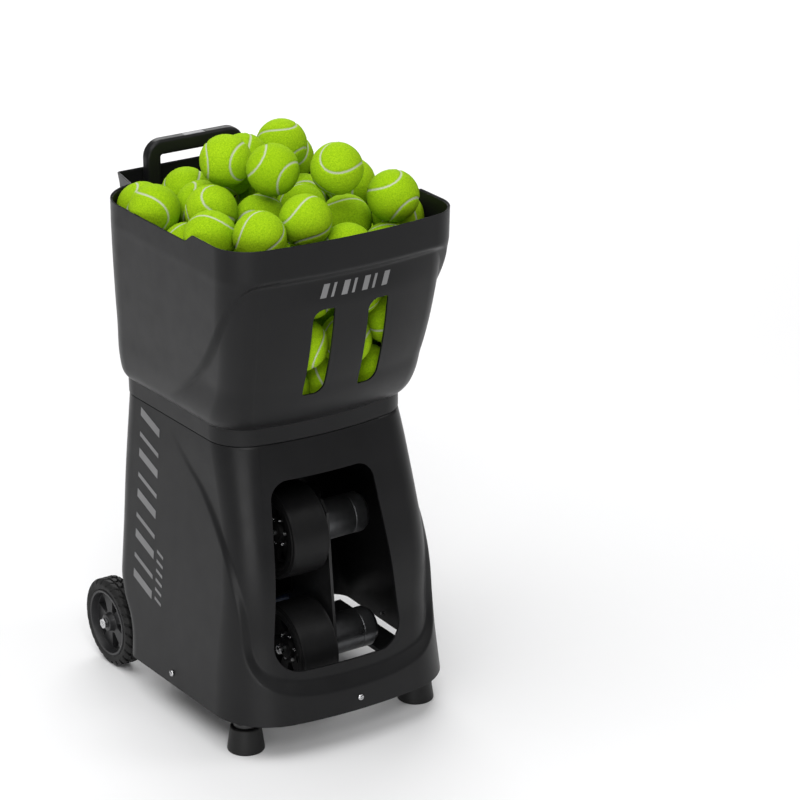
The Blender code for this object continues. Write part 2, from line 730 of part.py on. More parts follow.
def build_pan_drive():
    axis = (HEAD_X, PAN_Y, 0.0)
    outline = gear_outline(axis[:2], PAN_RING_RADIUS, PAN_RING_RADIUS - TOOTH_DEPTH, PAN_RING_TEETH)
    gear = prism("pan_ring", outline, PAN_RING_LOW_Z, PAN_RING_HIGH_Z, "Z", "nylon_white", axis)
    cut(gear, cylinder("pan_bore", (*axis[:2], PAN_RING_LOW_Z), BALL_PASSAGE_RADIUS + 0.0017, 0.05,
                       sides=32))
    pinion_at = (HEAD_X - PAN_PINION_OFFSET, PAN_Y)
    outline = gear_outline(pinion_at, PAN_PINION_RADIUS, PAN_PINION_RADIUS - TOOTH_DEPTH, PINION_TEETH)
    pinion = prism("pan_pinion", outline, PAN_RING_LOW_Z, PAN_RING_HIGH_Z, "Z", "nylon_white",
                   (*pinion_at, 0.0))
    cut(pinion, cylinder("pan_pinion_bore", (*pinion_at, PAN_RING_LOW_Z), 0.0033, 0.05, sides=16))
    length = PAN_RING_LOW_Z - 0.001 - PAN_MOTOR_Z
    tip = DECK_Z + 0.0035 - PAN_MOTOR_Z
    profile = [(0.0, tip), (0.003, tip), (0.003, length), (0.016, length), (0.016, 0.0), (0.0, 0.0)]
    turned("pan_motor", profile, (*pinion_at, PAN_MOTOR_Z), "Z", "motor_grey", sides=24)


# ---------------------------------------------------------------- launching head
ARM_INNER = 0.0465
ARM_OUTER = 0.0505
YOKE_LOW_Z = 0.3530
YOKE_HIGH_Z = 0.3575
PLATE_INNER = 0.0395
PLATE_OUTER = 0.0435
PIN_RADIUS = 0.004
SECTOR_INNER = 0.0525
SECTOR_OUTER = 0.0580
SHAFT_RADIUS = 0.004


def build_yoke():
    origin = (HEAD_X, PAN_Y, 0.0)
    front_y = TILT_Y - 0.024
    yoke = box("yoke", (HEAD_X - ARM_OUTER, front_y, YOKE_LOW_Z),
               (HEAD_X + ARM_OUTER, PAN_Y + 0.049, YOKE_HIGH_Z),
               "painted_frame", origin)
    for low_x in (-ARM_OUTER, ARM_INNER):
        high_x = low_x + ARM_OUTER - ARM_INNER
        join(yoke, box("arm", (HEAD_X + low_x, front_y, TILT_Z - 0.020),
                       (HEAD_X + high_x, TILT_Y + 0.020, YOKE_HIGH_Z - 0.0025)))
    cut(yoke, cylinder("yoke_bore", (HEAD_X, PAN_Y, YOKE_LOW_Z), BALL_PASSAGE_RADIUS + 0.0017, 0.03,
                       sides=32))
    cut(yoke, cylinder("pin_bore", (HEAD_X, TILT_Y, TILT_Z), PIN_RADIUS + GAP, 0.2, "X", sides=20))
    cut(yoke, cylinder("tilt_shaft_bore", (HEAD_X + ARM_OUTER, TILT_Y, TILT_PINION_Z), 0.0028, 0.02, "X",
                       sides=16))


def arc_points(radius, start, end, steps):
    """Points of an arc about the tilt axis, in degrees from the rear."""
    points = []
    for step in range(steps + 1):
        angle = radians(start + (end - start) * step / steps)
        points.append((TILT_Y + radius * cos(angle), TILT_Z + radius * sin(angle)))
    return points


def build_tilt_drive():
    profile = [(0.0, 0.034), (0.0145, 0.034), (0.0145, 0.0), (0.0025, 0.0), (0.0025, -0.0105),
               (0.0, -0.0105)]
    turned("tilt_motor", profile, (HEAD_X + SECTOR_OUTER + 0.001, TILT_Y, TILT_PINION_Z), "X", "motor_grey",
           sides=24)
    low = HEAD_X + SECTOR_INNER
    high = HEAD_X + SECTOR_OUTER
    outline = gear_outline((TILT_Y, TILT_PINION_Z), TILT_PINION_RADIUS, TILT_PINION_RADIUS - 0.0025,
                           PINION_TEETH)
    pinion = prism("tilt_pinion", outline, low, high, "X", "nylon_white", (HEAD_X, TILT_Y, TILT_PINION_Z))
    cut(pinion, cylinder("tilt_pinion_bore", (low, TILT_Y, TILT_PINION_Z), 0.0028, 0.03, "X", sides=16))
    points = arc_points(TILT_SECTOR_RADIUS, 90 - TILT_SECTOR_SPAN / 2, 90 + TILT_SECTOR_SPAN / 2, 8)
    points += arc_points(0.011, 150, 390, 8)
    origin = (HEAD_X, TILT_Y, TILT_Z)
    sector = prism("tilt_sector", points, low, high, "X", "nylon_white", origin)
    cut(sector, cylinder("sector_bore", (low, TILT_Y, TILT_Z), PIN_RADIUS + GAP, 0.03, "X", sides=20))
    pin_spans = {"left": (-0.0555, -0.0355), "right": (0.0355, 0.0595)}
    for label, (start, end) in pin_spans.items():
        centre = (HEAD_X + (start + end) / 2, TILT_Y, TILT_Z)
        cylinder("tilt_pin_" + label, centre, PIN_RADIUS, end - start, "X", "plated_steel", sides=20,
                 origin=origin)


def build_head_plate():
    outline = [(-0.138, 0.086), (-0.124, 0.068), (-0.072, 0.068), (-0.052, 0.090), (0.022, 0.182),
               (0.022, 0.226),
               (-0.040, 0.292), (-0.066, 0.298), (-0.104, 0.298), (-0.118, 0.284), (-0.126, 0.200)]
    plate = prism("head_plate", outline, HEAD_X + PLATE_INNER, HEAD_X + PLATE_OUTER, "X", "painted_frame",
                  (HEAD_X, TILT_Y, TILT_Z))
    for y, z in (UPPER_WHEEL, LOWER_WHEEL):
        cut(plate, cylinder("motor_bore", (HEAD_X + PLATE_INNER, y, z), 0.007, 0.03, "X", sides=20))
    cut(plate, cylinder("plate_pin_bore", (HEAD_X + PLATE_INNER, TILT_Y, TILT_Z), PIN_RADIUS + GAP, 0.03,
                        "X", sides=20))


# Floor and side-wall top of the ramp at each station, as y, z pairs from front to back.
RAMP_STATIONS = (
    ((-0.035, 0.140), (-0.035, 0.236)),
    ((-0.006, 0.141), (-0.010, 0.238)),
    ((0.030, 0.149), (0.020, 0.252)),
    ((0.060, 0.172), (0.046, 0.270)),
    ((0.080, 0.210), (0.070, 0.286)),
    ((0.089, 0.260), (0.082, 0.300)),
    ((0.091, 0.300), (0.088, 0.306)),
)


def build_feed_ramp():
    """A three-sided trough that turns a falling ball forward between the throwing wheels."""
    bm = bmesh.new()
    half = 0.0385
    rows = []
    for (floor_y, floor_z), (top_y, top_z) in RAMP_STATIONS:
        shape = ((-half, top_y, top_z), (-half, floor_y, floor_z), (half, floor_y, floor_z),
                 (half, top_y, top_z))
        rows.append([bm.verts.new((HEAD_X + x, y, z)) for x, y, z in shape])
    for front, back in zip(rows, rows[1:]):
        for i in range(3):
            bm.faces.new((front[i], back[i], back[i + 1], front[i + 1]))
    bmesh.ops.recalc_face_normals(bm, faces=bm.faces)
    ramp = add_object("feed_ramp", mesh_from(bm, "feed_ramp"), "inner_black", (HEAD_X, TILT_Y, TILT_Z))
    skin = ramp.modifiers.new("wall", "SOLIDIFY")
    skin.thickness = WALL
    skin.offset = -1
    skin.use_even_offset = True
    cut(ramp, cylinder("ramp_pin_bore", (HEAD_X, TILT_Y, TILT_Z), PIN_RADIUS + GAP, 0.2, "X", sides=20))


def build_throwing_wheel(name, y, z):
    """Motor on the right of the head plate, its shaft, and the rubber wheel on the left of it."""
    low = HEAD_X + PLATE_OUTER + GAP
    bore = SHAFT_RADIUS + 0.0004
    socket = 0.040  # depth of the motor's bore for the shaft
    profile = [(0.0, 0.070), (0.022, 0.070), (0.027, 0.064), (0.027, 0.0), (bore, 0.0), (bore, socket),
               (0.0, socket)]
    turned(name + "_throw_motor", profile, (low, y, z), "X", "motor_grey")
    half = THROW_WIDTH / 2
    shaft_low = HEAD_X - half + 0.006
    shaft_high = low + socket - 0.002
    cylinder(name + "_wheel_shaft", ((shaft_low + shaft_high) / 2, y, z), SHAFT_RADIUS,
             shaft_high - shaft_low, "X",
             "plated_steel", sides=20)
    outer = THROW_HUB_RADIUS - GAP
    barrel = outer - 0.004
    boss = 0.013
    web_low = -half + 0.014
    web_high = web_low + 0.006
    hub_profile = [
        (outer, half - 0.001), (outer, -half + 0.001), (barrel, -half + 0.001), (barrel, web_low),
        (boss, web_low + 0.002), (boss, web_low - 0.004), (SHAFT_RADIUS + GAP, web_low - 0.004),
        (SHAFT_RADIUS + GAP, half - 0.004), (boss, half - 0.004), (boss, web_high + 0.002),
        (barrel, web_high), (barrel, half - 0.001),
    ]
    turned(name + "_wheel_hub", hub_profile, (HEAD_X, y, z), "X", "inner_black", sides=24)
    ring(name + "_wheel_tread", (HEAD_X, y, z), THROW_RADIUS, THROW_HUB_RADIUS, THROW_WIDTH, "X",
         "tread_grey",
         sides=36, rounding=0.003)
    nut_centre = (HEAD_X - half + 0.0020, y, z)
    cylinder(name + "_wheel_nut", nut_centre, 0.0075, 0.006, "X", "bright_steel", sides=6)


# ---------------------------------------------------------------- chassis and running gear
def build_chassis():
    rail_low = BASE_BOTTOM_Z + 0.0005
    rail_top = rail_low + 0.006
    frame = box("chassis_frame", (-0.110, -0.010, rail_low), (0.110, 0.086, rail_top), "painted_frame")
    for side in (-1, 1):
        low_x, high_x = sorted((side * 0.108, side * 0.150))
        rail = box("rail", (low_x, -0.172, rail_low), (high_x, 0.060, rail_top))
        ear_x = side * EAR_X
        ear = box("ear", (ear_x - EAR_THICKNESS / 2, 0.070, rail_low),
                  (ear_x + EAR_THICKNESS / 2, 0.176, 0.074))
        join(frame, rail, ear)
    cut(frame, cylinder("axle_bore", (0.0, TROLLEY_Y, TROLLEY_RADIUS), AXLE_RADIUS + GAP, 0.4, "X",
                        sides=20))
    cylinder("rear_axle", (0.0, TROLLEY_Y, TROLLEY_RADIUS), AXLE_RADIUS, 2 * TROLLEY_OUTER_X, "X",
             "plated_steel", sides=20)
    box("battery_pack", (-0.078, 0.000, rail_top + GAP), (0.078, 0.080, 0.120), "battery_blue", bevel=0.004)


def build_trolley_wheel(label, side):
    centre = (side * (TROLLEY_INNER_X + TROLLEY_OUTER_X) / 2, TROLLEY_Y, TROLLEY_RADIUS)
    width = TROLLEY_OUTER_X - TROLLEY_INNER_X
    half = width / 2
    ring("trolley_tyre_" + label, centre, TROLLEY_RADIUS, TROLLEY_RIM_RADIUS, width, "X", "rubber", 32,
         rounding=0.006)
    rim = TROLLEY_RIM_RADIUS - GAP
    profile = [
        (rim, half - 0.001), (rim, -half + 0.001), (rim - 0.004, -0.004), (0.012, -0.004), (0.010, -half),
        (AXLE_RADIUS + GAP, -half), (AXLE_RADIUS + GAP, half), (0.010, half), (0.012, 0.004),
        (rim - 0.004, 0.004),
    ]
    wheel = turned("trolley_rim_" + label, profile, centre, "X", "rim_black", sides=25)
    for opening in range(RIM_OPENINGS):
        turn = RIM_OPENING_TURN + 360 * opening / RIM_OPENINGS
        cut(wheel, wedge_cutter(centre, radians(turn), *RIM_OPENING_RADII, radians(RIM_OPENING_SPREAD)))
    nut_at = side * (TROLLEY_OUTER_X + GAP + 0.003)
    cylinder("axle_nut_" + label, (nut_at, TROLLEY_Y, TROLLEY_RADIUS), 0.0075, 0.006, "X", "bright_steel",
             sides=6)


def wedge_cutter(centre, middle_angle, inner, outer, spread):
    points = []
    for radius, order in ((outer, (-1, 0, 1)), (inner, (1, -1))):
        for share in order:
            angle = middle_angle + share * spread / 2
            points.append((centre[1] + radius * cos(angle), centre[2] + radius * sin(angle)))
    return prism("rim_opening", points, centre[0] - 0.010, centre[0] + 0.010, "X")


def build_foot(label, side):
    x = side * FOOT_X
    cylinder("foot_" + label, (x, FOOT_Y, FOOT_HEIGHT / 2), FOOT_BOTTOM_RADIUS, FOOT_HEIGHT, "Z", "rubber",
             FOOT_TOP_RADIUS, 32)
    low = FOOT_HEIGHT + GAP
    high = BASE_BOTTOM_Z + 0.0002
    cylinder("foot_stud_" + label, (x, FOOT_Y, (low + high) / 2), 0.016, high - low, "Z", "painted_frame",
             sides=24)


# ---------------------------------------------------------------- trolley handle
def handle_path(height):
    """The grip's centre line: up one leg, round two corners and down the other."""
    x = HANDLE_TUBE_X
    top = HANDLE_TOP_Z - HANDLE_BAR / 2
    radius = HANDLE_CORNER - HANDLE_BAR / 2
    points = [(-x, height)]
    for centre_x, start in ((-x + radius, 180), (x - radius, 90)):
        for step in range(6):
            angle = radians(start - 90 * step / 5)
            points.append((centre_x + radius * cos(angle), top - radius + radius * sin(angle)))
    points.append((x, height))
    return points


def build_handle():
    """The grip is an outline offset both ways from its centre line, given depth and rounded edges."""
    centre_line = handle_path(GRIP_BOTTOM_Z)
    outer = []
    inner = []
    for i, (x, z) in enumerate(centre_line):
        before = centre_line[max(i - 1, 0)]
        after = centre_line[min(i + 1, len(centre_line) - 1)]
        heading = atan2(after[1] - before[1], after[0] - before[0])
        across = (-sin(heading) * HANDLE_BAR / 2, cos(heading) * HANDLE_BAR / 2)
        outer.append((x + across[0], z + across[1]))
        inner.append((x - across[0], z - across[1]))
    grip = prism("handle_grip", outer + inner[::-1], HANDLE_Y - HANDLE_DEPTH / 2,
                 HANDLE_Y + HANDLE_DEPTH / 2, "Y",
                 "handle_black", (0.0, HANDLE_Y, HANDLE_TOP_Z))
    rounding = grip.modifiers.new("edges", "BEVEL")
    rounding.width = 0.0035
    rounding.segments = 2
    rounding.limit_method = "ANGLE"
    rounding.angle_limit = radians(50)
    button_low = HANDLE_TOP_Z - 0.006
    cut(grip, box("button_pocket", (-0.0163, HANDLE_Y - 0.0053, button_low - 0.004),
                  (0.0163, HANDLE_Y + 0.0053, 0.74)))
    box("handle_release_button", (-0.016, HANDLE_Y - 0.005, button_low),
        (0.016, HANDLE_Y + 0.005, HANDLE_TOP_Z - 0.0002),
        "button_grey", (0.0, HANDLE_Y, HANDLE_TOP_Z), bevel=0.001)
    for label, side in (("left", -1), ("right", 1)):
        x = side * HANDLE_TUBE_X
        length = GRIP_BOTTOM_Z - GAP - INNER_TUBE_BOTTOM_Z
        cylinder("handle_tube_" + label, (x, HANDLE_Y, INNER_TUBE_BOTTOM_Z + length / 2), INNER_TUBE_RADIUS,
                 length, "Z",
                 "plated_steel", sides=24)
        length = GUIDE_TOP_Z - GUIDE_BOTTOM_Z
        ring("guide_tube_" + label, (x, HANDLE_Y, GUIDE_BOTTOM_Z + length / 2), GUIDE_TUBE_RADIUS,
             INNER_TUBE_RADIUS + GAP, length, "Z", "painted_frame", sides=24)
        ring("guide_collar_" + label, (x, HANDLE_Y, GUIDE_TOP_Z - 0.008), 0.0125, GUIDE_TUBE_RADIUS + GAP,
             0.016, "Z",
             "inner_black", sides=24)


# ---------------------------------------------------------------- rear controls
def build_controls():
    face = PANEL_FACE_Y
    panel = box("control_panel", (-0.056, face, 0.266), (0.056, face + 0.004, 0.364), "panel_black",
                bevel=0.0015)
    for index, x in enumerate(BUTTON_XS, start=1):
        centre = (x, face + 0.0015, BUTTON_Z)
        cut(panel, cylinder("button_hole", centre, 0.0073, 0.03, "Y", sides=24))
        profile = [(0.0, 0.0050), (0.0055, 0.0048), (0.0070, 0.0036), (0.0070, -0.0045), (0.0, -0.0045)]
        turned(f"panel_button_{index}", profile, centre, "Y", "button_grey", sides=20)
    wall = COLUMN_FACE_Y
    cup = cylinder("charge_socket", (SOCKET_X, wall - 0.006, SOCKET_Z), 0.0100, 0.016, "Y", "panel_black",
                   sides=24)
    join(cup, cylinder("socket_flange", (SOCKET_X, wall + 0.0014, SOCKET_Z), 0.0125, 0.0024, "Y", sides=24))
    cut(cup, cylinder("socket_mouth", (SOCKET_X, wall + 0.002, SOCKET_Z), 0.0070, 0.020, "Y", sides=24))
    half_x = 0.0105
    half_z = 0.0065
    box("power_rocker", (-SOCKET_X - half_x, wall - 0.008, SOCKET_Z - half_z),
        (-SOCKET_X + half_x, wall + 0.0035, SOCKET_Z + half_z), "button_grey", (-SOCKET_X, wall - 0.004,
                                                                                SOCKET_Z),
        bevel=0.001)


# ---------------------------------------------------------------- assembly
def build():
    cut_base_shell(build_base_shell())
    build_battery_door()
    build_hopper_shell()
    build_screw("front_screw", (0.0, -0.2236, SCREW_Z), "X", pi / 2)
    build_screw("side_screw_left", (-0.1695, SIDE_SCREW_Y, SCREW_Z), "Y", -pi / 2)
    build_screw("side_screw_right", (0.1695, SIDE_SCREW_Y, SCREW_Z), "Y", pi / 2)
    build_feed()
    build_deck()
    build_pan_drive()
    build_yoke()
    build_tilt_drive()
    build_head_plate()
    build_feed_ramp()
    build_throwing_wheel("upper", *UPPER_WHEEL)
    build_throwing_wheel("lower", *LOWER_WHEEL)
    build_chassis()
    for label, side in (("left", -1), ("right", 1)):
        build_trolley_wheel(label, side)
        build_foot(label, side)
    build_handle()
    build_controls()


build()
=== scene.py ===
import json
from math import acos, atan2, cos, pi, radians, sin, sqrt

import bmesh
import bpy
import numpy as np
from mathutils import Matrix, Vector


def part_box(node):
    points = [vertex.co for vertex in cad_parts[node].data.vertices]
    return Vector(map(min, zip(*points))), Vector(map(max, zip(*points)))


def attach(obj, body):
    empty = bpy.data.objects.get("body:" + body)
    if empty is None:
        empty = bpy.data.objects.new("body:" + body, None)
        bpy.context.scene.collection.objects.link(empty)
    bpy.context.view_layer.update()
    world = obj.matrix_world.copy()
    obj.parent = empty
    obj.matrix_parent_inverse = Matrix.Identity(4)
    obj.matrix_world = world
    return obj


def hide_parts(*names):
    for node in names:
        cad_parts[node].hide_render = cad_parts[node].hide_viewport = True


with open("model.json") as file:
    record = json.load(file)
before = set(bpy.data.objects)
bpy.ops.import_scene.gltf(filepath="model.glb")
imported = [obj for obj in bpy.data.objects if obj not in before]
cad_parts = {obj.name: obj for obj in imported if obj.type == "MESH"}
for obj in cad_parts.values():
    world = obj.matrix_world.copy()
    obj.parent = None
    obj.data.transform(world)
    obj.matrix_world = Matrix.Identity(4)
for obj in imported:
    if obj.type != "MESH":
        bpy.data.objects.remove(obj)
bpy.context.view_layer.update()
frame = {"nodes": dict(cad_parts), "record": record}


def millimetres(*rows):
    return tuple(tuple(value / 1000 for value in row) for row in rows)


# ---------------------------------------------------------------- dimensions shared with the CAD, metres
WALL = 0.003
GAP = 0.0003
BASE_BOTTOM_Z = 0.050
SEAM_Z = 0.411
RIM_FRONT_Z = 0.698
RIM_SIDE_Z = 0.685
RIM_STEP_START_Y = -0.112
RIM_STEP_END_Y = -0.086
REAR_FLARE = 0.004
FLARE_END_Z = (0.440, 0.520)

# z, half width in front, y of the front corners, y of the rear wall, front and rear corner radius,
# and how far the front bows out
BASE_PROFILE = millimetres(
    (50, 168, -217.5, 97, 85, 30, 8),
    (80, 165.5, -212.5, 99, 82, 30, 8),
    (105, 163.5, -208, 108, 79, 30, 9),
    (130, 161.4, -203, 127, 73, 32, 9),
    (160, 159, -197, 139, 65, 35, 9),
    (200, 155.5, -191.5, 141, 56, 37, 9),
    (230, 153, -186, 142, 52, 38, 10),
    (300, 147.2, -169.5, 145, 48, 40, 10),
    (360, 142.5, -152, 146, 50, 43, 10),
    (411, 138.5, -137.5, 146, 54, 45, 10),
)
HOPPER_PROFILE = millimetres(
    (411, 139.5, -137.5, 146, 54, 45, 10),
    (434, 140, -137, 146, 54, 45, 10),
    (434.5, 141, -138.5, 147, 53, 45, 10),
    (441, 145.5, -144, 149, 50, 45, 12),
    (450, 148.5, -150, 150, 50, 46, 14),
    (485, 155, -168.5, 151, 50, 50, 18),
    (545, 161, -187, 151, 50, 56, 19),
    (605, 165.5, -199, 151, 50, 62, 18),
    (644, 168, -205.5, 151, 50, 66, 12),
    (658, 169, -208, 151, 50, 68, 10),
    (700, 169.5, -209, 151, 50, 70, 10),
)
# z, how far the rear column stands out and its half width
COLUMN_PROFILE = millimetres(
    (165, 0, 92), (190, 52, 92), (440, 49, 92), (700, 53, 112),
)
COLUMN_SLANT = 0.010
COLUMN_STEP = 0.001
COLUMN_ROUNDING = 0.0045
PANEL_RECESS = 0.007
PANEL_TOP_RAMP = (0.644, 0.657)
PANEL_EDGE_RAMP = (-0.0035, 0.0055)
# z and the y of the front panel's edge on the sides
PANEL_EDGE = millimetres(
    (445, 0), (469, -38), (499.5, -79.5), (526, -109), (561, -138), (592, -159), (633, -187), (654, -206),
)
PANEL_FADE_Z = (0.445, 0.500)
FACE_RECESS = 0.0080
FACE_SIDE_SHARE = 0.45
FACE_SIDE_Z = (0.150, 0.260)
FACE_FADE_Z = (0.280, 0.405)
FACE_BOTTOM_Z = 0.091
FACE_ROUND_TOP_Z = 0.166
FACE_ROUNDNESS = 3.0
FACE_LEDGE = (0.018, 0.009)
# z and how far round from the middle of the front the pressed-in face reaches
FACE_EDGE = millimetres(
    (166, 150.5), (195, 152), (226, 157), (262, 165), (338, 205), (364, 236), (411, 285),
)
SLOT_WIDTH = 0.030
SLOT_HEIGHT = 0.122
SLOT_CENTRES_X = (-0.040, 0.040)
SLOT_CENTRE_Z = 0.544
SLOT_RADII = (0.003, 0.015)
WINDOW_CENTRE_X = -0.0150
WINDOW_BOTTOM_Z = 0.1145
WINDOW_TOP_Z = 0.3635
WINDOW_HALF_BOTTOM = 0.0945
WINDOW_HALF_TOP = 0.077
WINDOW_BOTTOM_RADIUS = 0.036
WINDOW_TOP_RADIUS = 0.026
THROW_RADIUS = 0.061
THROW_WIDTH = 0.057
THROW_HUB_RADIUS = 0.050
TROLLEY_RADIUS = 0.061
TROLLEY_RIM_RADIUS = 0.0465
RIM_OPENINGS = 5
RIM_OPENING_TURN = 38.0
RIM_OPENING_SPREAD = 36.0
RIM_OPENING_RADII = (0.0155, 0.0390)
HANDLE_Y = 0.1770
HANDLE_TUBE_X = 0.0635
HANDLE_TOP_Z = 0.729
HANDLE_BAR = 0.021
HANDLE_DEPTH = 0.017
HANDLE_CORNER = 0.024
HANDLE_ROUNDING = 0.0050
BUTTON_POCKET = (0.0163, 0.0053)
GRIP_BOTTOM_Z = 0.654
BALL_RADIUS = 0.0335
# Openings in the rear wall: the door's half width, low z and high z, then the chassis ears' x and half
# width, the control panel's and the rocker's boxes, and the socket's centre (x, z) and radius
DOOR_OPENING = (0.062, 0.086, 0.149)
DOOR_GAP = 0.0006
EAR_SLOT = (0.100, 0.0045)
CONTROL_OPENING = ((-0.048, 0.170, 0.274), (0.048, 0.220, 0.356))
ROCKER_OPENING = ((-0.042, 0.180, 0.2275), (-0.018, 0.210, 0.2425))
SOCKET_OPENING = ((0.030, 0.235), 0.0105)

# ---------------------------------------------------------------- the visual model's own numbers
LAST_LEVEL_Z = 0.670
RIM_ROUNDING = 0.0006
SHELL_ANGLE = 40
INK = 0.00025
TYRE_POINTS = 480
TYRE_BLOCKS = 26
TREAD_DEPTH = 0.0030
TREAD_LINE = 0.27
HUB_OPENINGS = 6
SCREW_HEAD_RADIUS = 0.0045
SCREW_HEAD_HEIGHT = 0.0030
SCREW_Z = 0.066
SIDE_SCREW_Y = -0.027
FRONT_POINTS = 96
CORNER_POINTS = 44
SIDE_POINTS = 60
REAR_ARC_POINTS = 16
REAR_POINTS = 60
SAME_POINT = 0.000004
SIDES = (("left", -1), ("right", 1))


# ---------------------------------------------------------------- small functions
def smooth(value, low, high):
    """0 below low, 1 above high, and a smooth step between; works on arrays too."""
    t = np.clip((value - low) / (high - low), 0.0, 1.0)
    return t * t * (3 - 2 * t)


def read_table(table, z, column=1):
    """A curve through a table's rows that never overshoots them."""
    xs = np.array([row[0] for row in table])
    ys = np.array([row[column] for row in table])
    slopes = np.diff(ys) / np.diff(xs)
    tangents = np.concatenate((slopes[:1], np.zeros(len(slopes) - 1), slopes[-1:]))
    for i in range(1, len(slopes)):
        before, after = slopes[i - 1], slopes[i]
        if before * after > 0:
            tangents[i] = 2 * before * after / (before + after)
    z = np.clip(z, xs[0], xs[-1])
    i = np.clip(np.searchsorted(xs, z, side="right") - 1, 0, len(slopes) - 1)
    step = xs[i + 1] - xs[i]
    t = (z - xs[i]) / step
    value = ys[i] * (1 + 2 * t) * (1 - t) ** 2 + ys[i + 1] * t * t * (3 - 2 * t)
    return value + step * tangents[i] * t * (1 - t) ** 2 - step * tangents[i + 1] * t * t * (1 - t)


# ---------------------------------------------------------------- materials
class Paint:
    """A procedural material being built: one Principled shader and its helper nodes."""

    def __init__(self, name, colour, roughness, metallic=0.0):
        self.material = bpy.data.materials.new(name)
        self.material.use_nodes = True
        self.tree = self.material.node_tree
        self.shader = self.tree.nodes["Principled BSDF"]
        self.put(metallic, "Metallic")
        self.colour = colour
        self.roughness = roughness
        self.place = self.node("ShaderNodeTexCoord").outputs["Object"]
        self.normal = None

    def node(self, kind, sockets=None, **values):
        """A new node with some of its properties and unlinked sockets set."""
        made = self.tree.nodes.new(kind)
        for key, value in values.items():
            setattr(made, key, value)
        for key, value in (sockets or {}).items():
            made.inputs[key].default_value = value
        return made

    def link(self, output, target):
        self.tree.links.new(output, target)

    def feed(self, output, socket):
        """Links a value to one of the shader's sockets."""
        self.link(output, self.shader.inputs[socket])

    def put(self, value, socket):
        """Sets a number that is the same all over the surface."""
        self.shader.inputs[socket].default_value = value

    def noise(self, scale, detail=3.0, stretch=None, rough=0.55):
        made = self.node("ShaderNodeTexNoise", {"Scale": scale, "Detail": detail, "Roughness": rough})
        place = self.place
        if stretch:
            mapping = self.node("ShaderNodeMapping", {"Scale": stretch})
            self.link(place, mapping.inputs["Vector"])
            place = mapping.outputs["Vector"]
        self.link(place, made.inputs["Vector"])
        return made.outputs["Fac"]

    def spread(self, value, low, high, from_low=0.3, from_high=0.7):
        """A value stretched so that from_low gives low and from_high gives high."""
        made = self.node("ShaderNodeMapRange", {"From Min": from_low, "From Max": from_high,
                                                "To Min": low, "To Max": high})
        self.link(value, made.inputs["Value"])
        return made.outputs["Result"]

    def mix(self, share, first, second):
        """Two colours mixed. Each is a tuple or another node's output."""
        made = self.node("ShaderNodeMix", data_type="RGBA")
        self.link(share, made.inputs["Factor"])
        for value, socket in ((first, made.inputs["A"]), (second, made.inputs["B"])):
            if isinstance(value, tuple):
                socket.default_value = (*value, 1.0)
            else:
                self.link(value, socket)
        return made.outputs["Result"]

    def edges(self, radius):
        """Softens the look of every edge, as moulds and files do."""
        self.normal = self.node("ShaderNodeBevel", {"Radius": radius}, samples=4).outputs["Normal"]

    def bump(self, height, distance, strength=1.0):
        made = self.node("ShaderNodeBump", {"Distance": distance, "Strength": strength})
        self.link(height, made.inputs["Height"])
        if self.normal:
            self.link(self.normal, made.inputs["Normal"])
        self.normal = made.outputs["Normal"]

    def done(self):
        if self.normal:
            self.feed(self.normal, "Normal")
        return self.material


def tinted(colour, factor):
    return tuple(min(channel * factor, 1.0) for channel in colour)


def varied(paint, broad=7.0, amount=0.16, rough_amount=0.07):
    """Gives a paint a slow change of colour and a faster change of roughness."""
    share = paint.spread(paint.noise(broad), 0.0, 1.0)
    colour = paint.mix(share, tinted(paint.colour, 1 - amount), tinted(paint.colour, 1 + amount))
    paint.feed(colour, "Base Color")
    low, high = paint.roughness - rough_amount, paint.roughness + rough_amount
    paint.feed(paint.spread(paint.noise(38.0, 4.0), low, high), "Roughness")


def plastic(name, colour, roughness, grain=900.0, depth=0.00010, edge=0.0007, specular=0.5):
    """Moulded plastic: spark-eroded grain, slight blotches, softened edges."""
    paint = Paint(name, colour, roughness)
    varied(paint, rough_amount=0.035)
    paint.put(specular, "Specular IOR Level")
    paint.edges(edge)
    paint.bump(paint.noise(grain, 2.0), depth, 0.55)
    paint.bump(paint.noise(70.0, 1.0), 0.00010, 0.10)
    return paint.done()


def rubber(name, colour, roughness, grain=1300.0, edge=0.0008, dust=0.35, specular=0.4):
    """Rubber: matt, finely pitted, with a little pale dust."""
    paint = Paint(name, colour, roughness)
    paint.put(specular, "Specular IOR Level")
    share = paint.spread(paint.noise(55.0, 5.0), 0.0, dust, 0.5, 0.8)
    paint.feed(paint.mix(share, colour, (0.075, 0.072, 0.068)), "Base Color")
    paint.feed(paint.spread(paint.noise(30.0), roughness - 0.08, roughness + 0.08), "Roughness")
    paint.edges(edge)
    paint.bump(paint.noise(grain, 3.0), 0.00012, 0.6)
    return paint.done()


def metal(name, colour, roughness, stretch=(1.0, 1.0, 1.0), scale=500.0, edge=0.0005, scratches=0.5,
          metallic=1.0, changes=(22.0, 0.10, 0.05)):
    """Turned or drawn metal: fine directional marks and small scuffs."""
    paint = Paint(name, colour, roughness, metallic)
    varied(paint, *changes)
    paint.edges(edge)
    paint.bump(paint.noise(scale, 2.0, stretch), 0.00004, scratches)
    return paint.done()


def painted(name, colour, roughness=0.45):
    """Powder-coated sheet metal with its orange-peel surface."""
    paint = Paint(name, colour, roughness)
    varied(paint, 12.0, 0.18, 0.08)
    paint.put(0.15, "Coat Weight")
    paint.put(0.35, "Coat Roughness")
    paint.edges(0.0005)
    paint.bump(paint.noise(420.0, 2.0), 0.00008, 0.5)
    return paint.done()


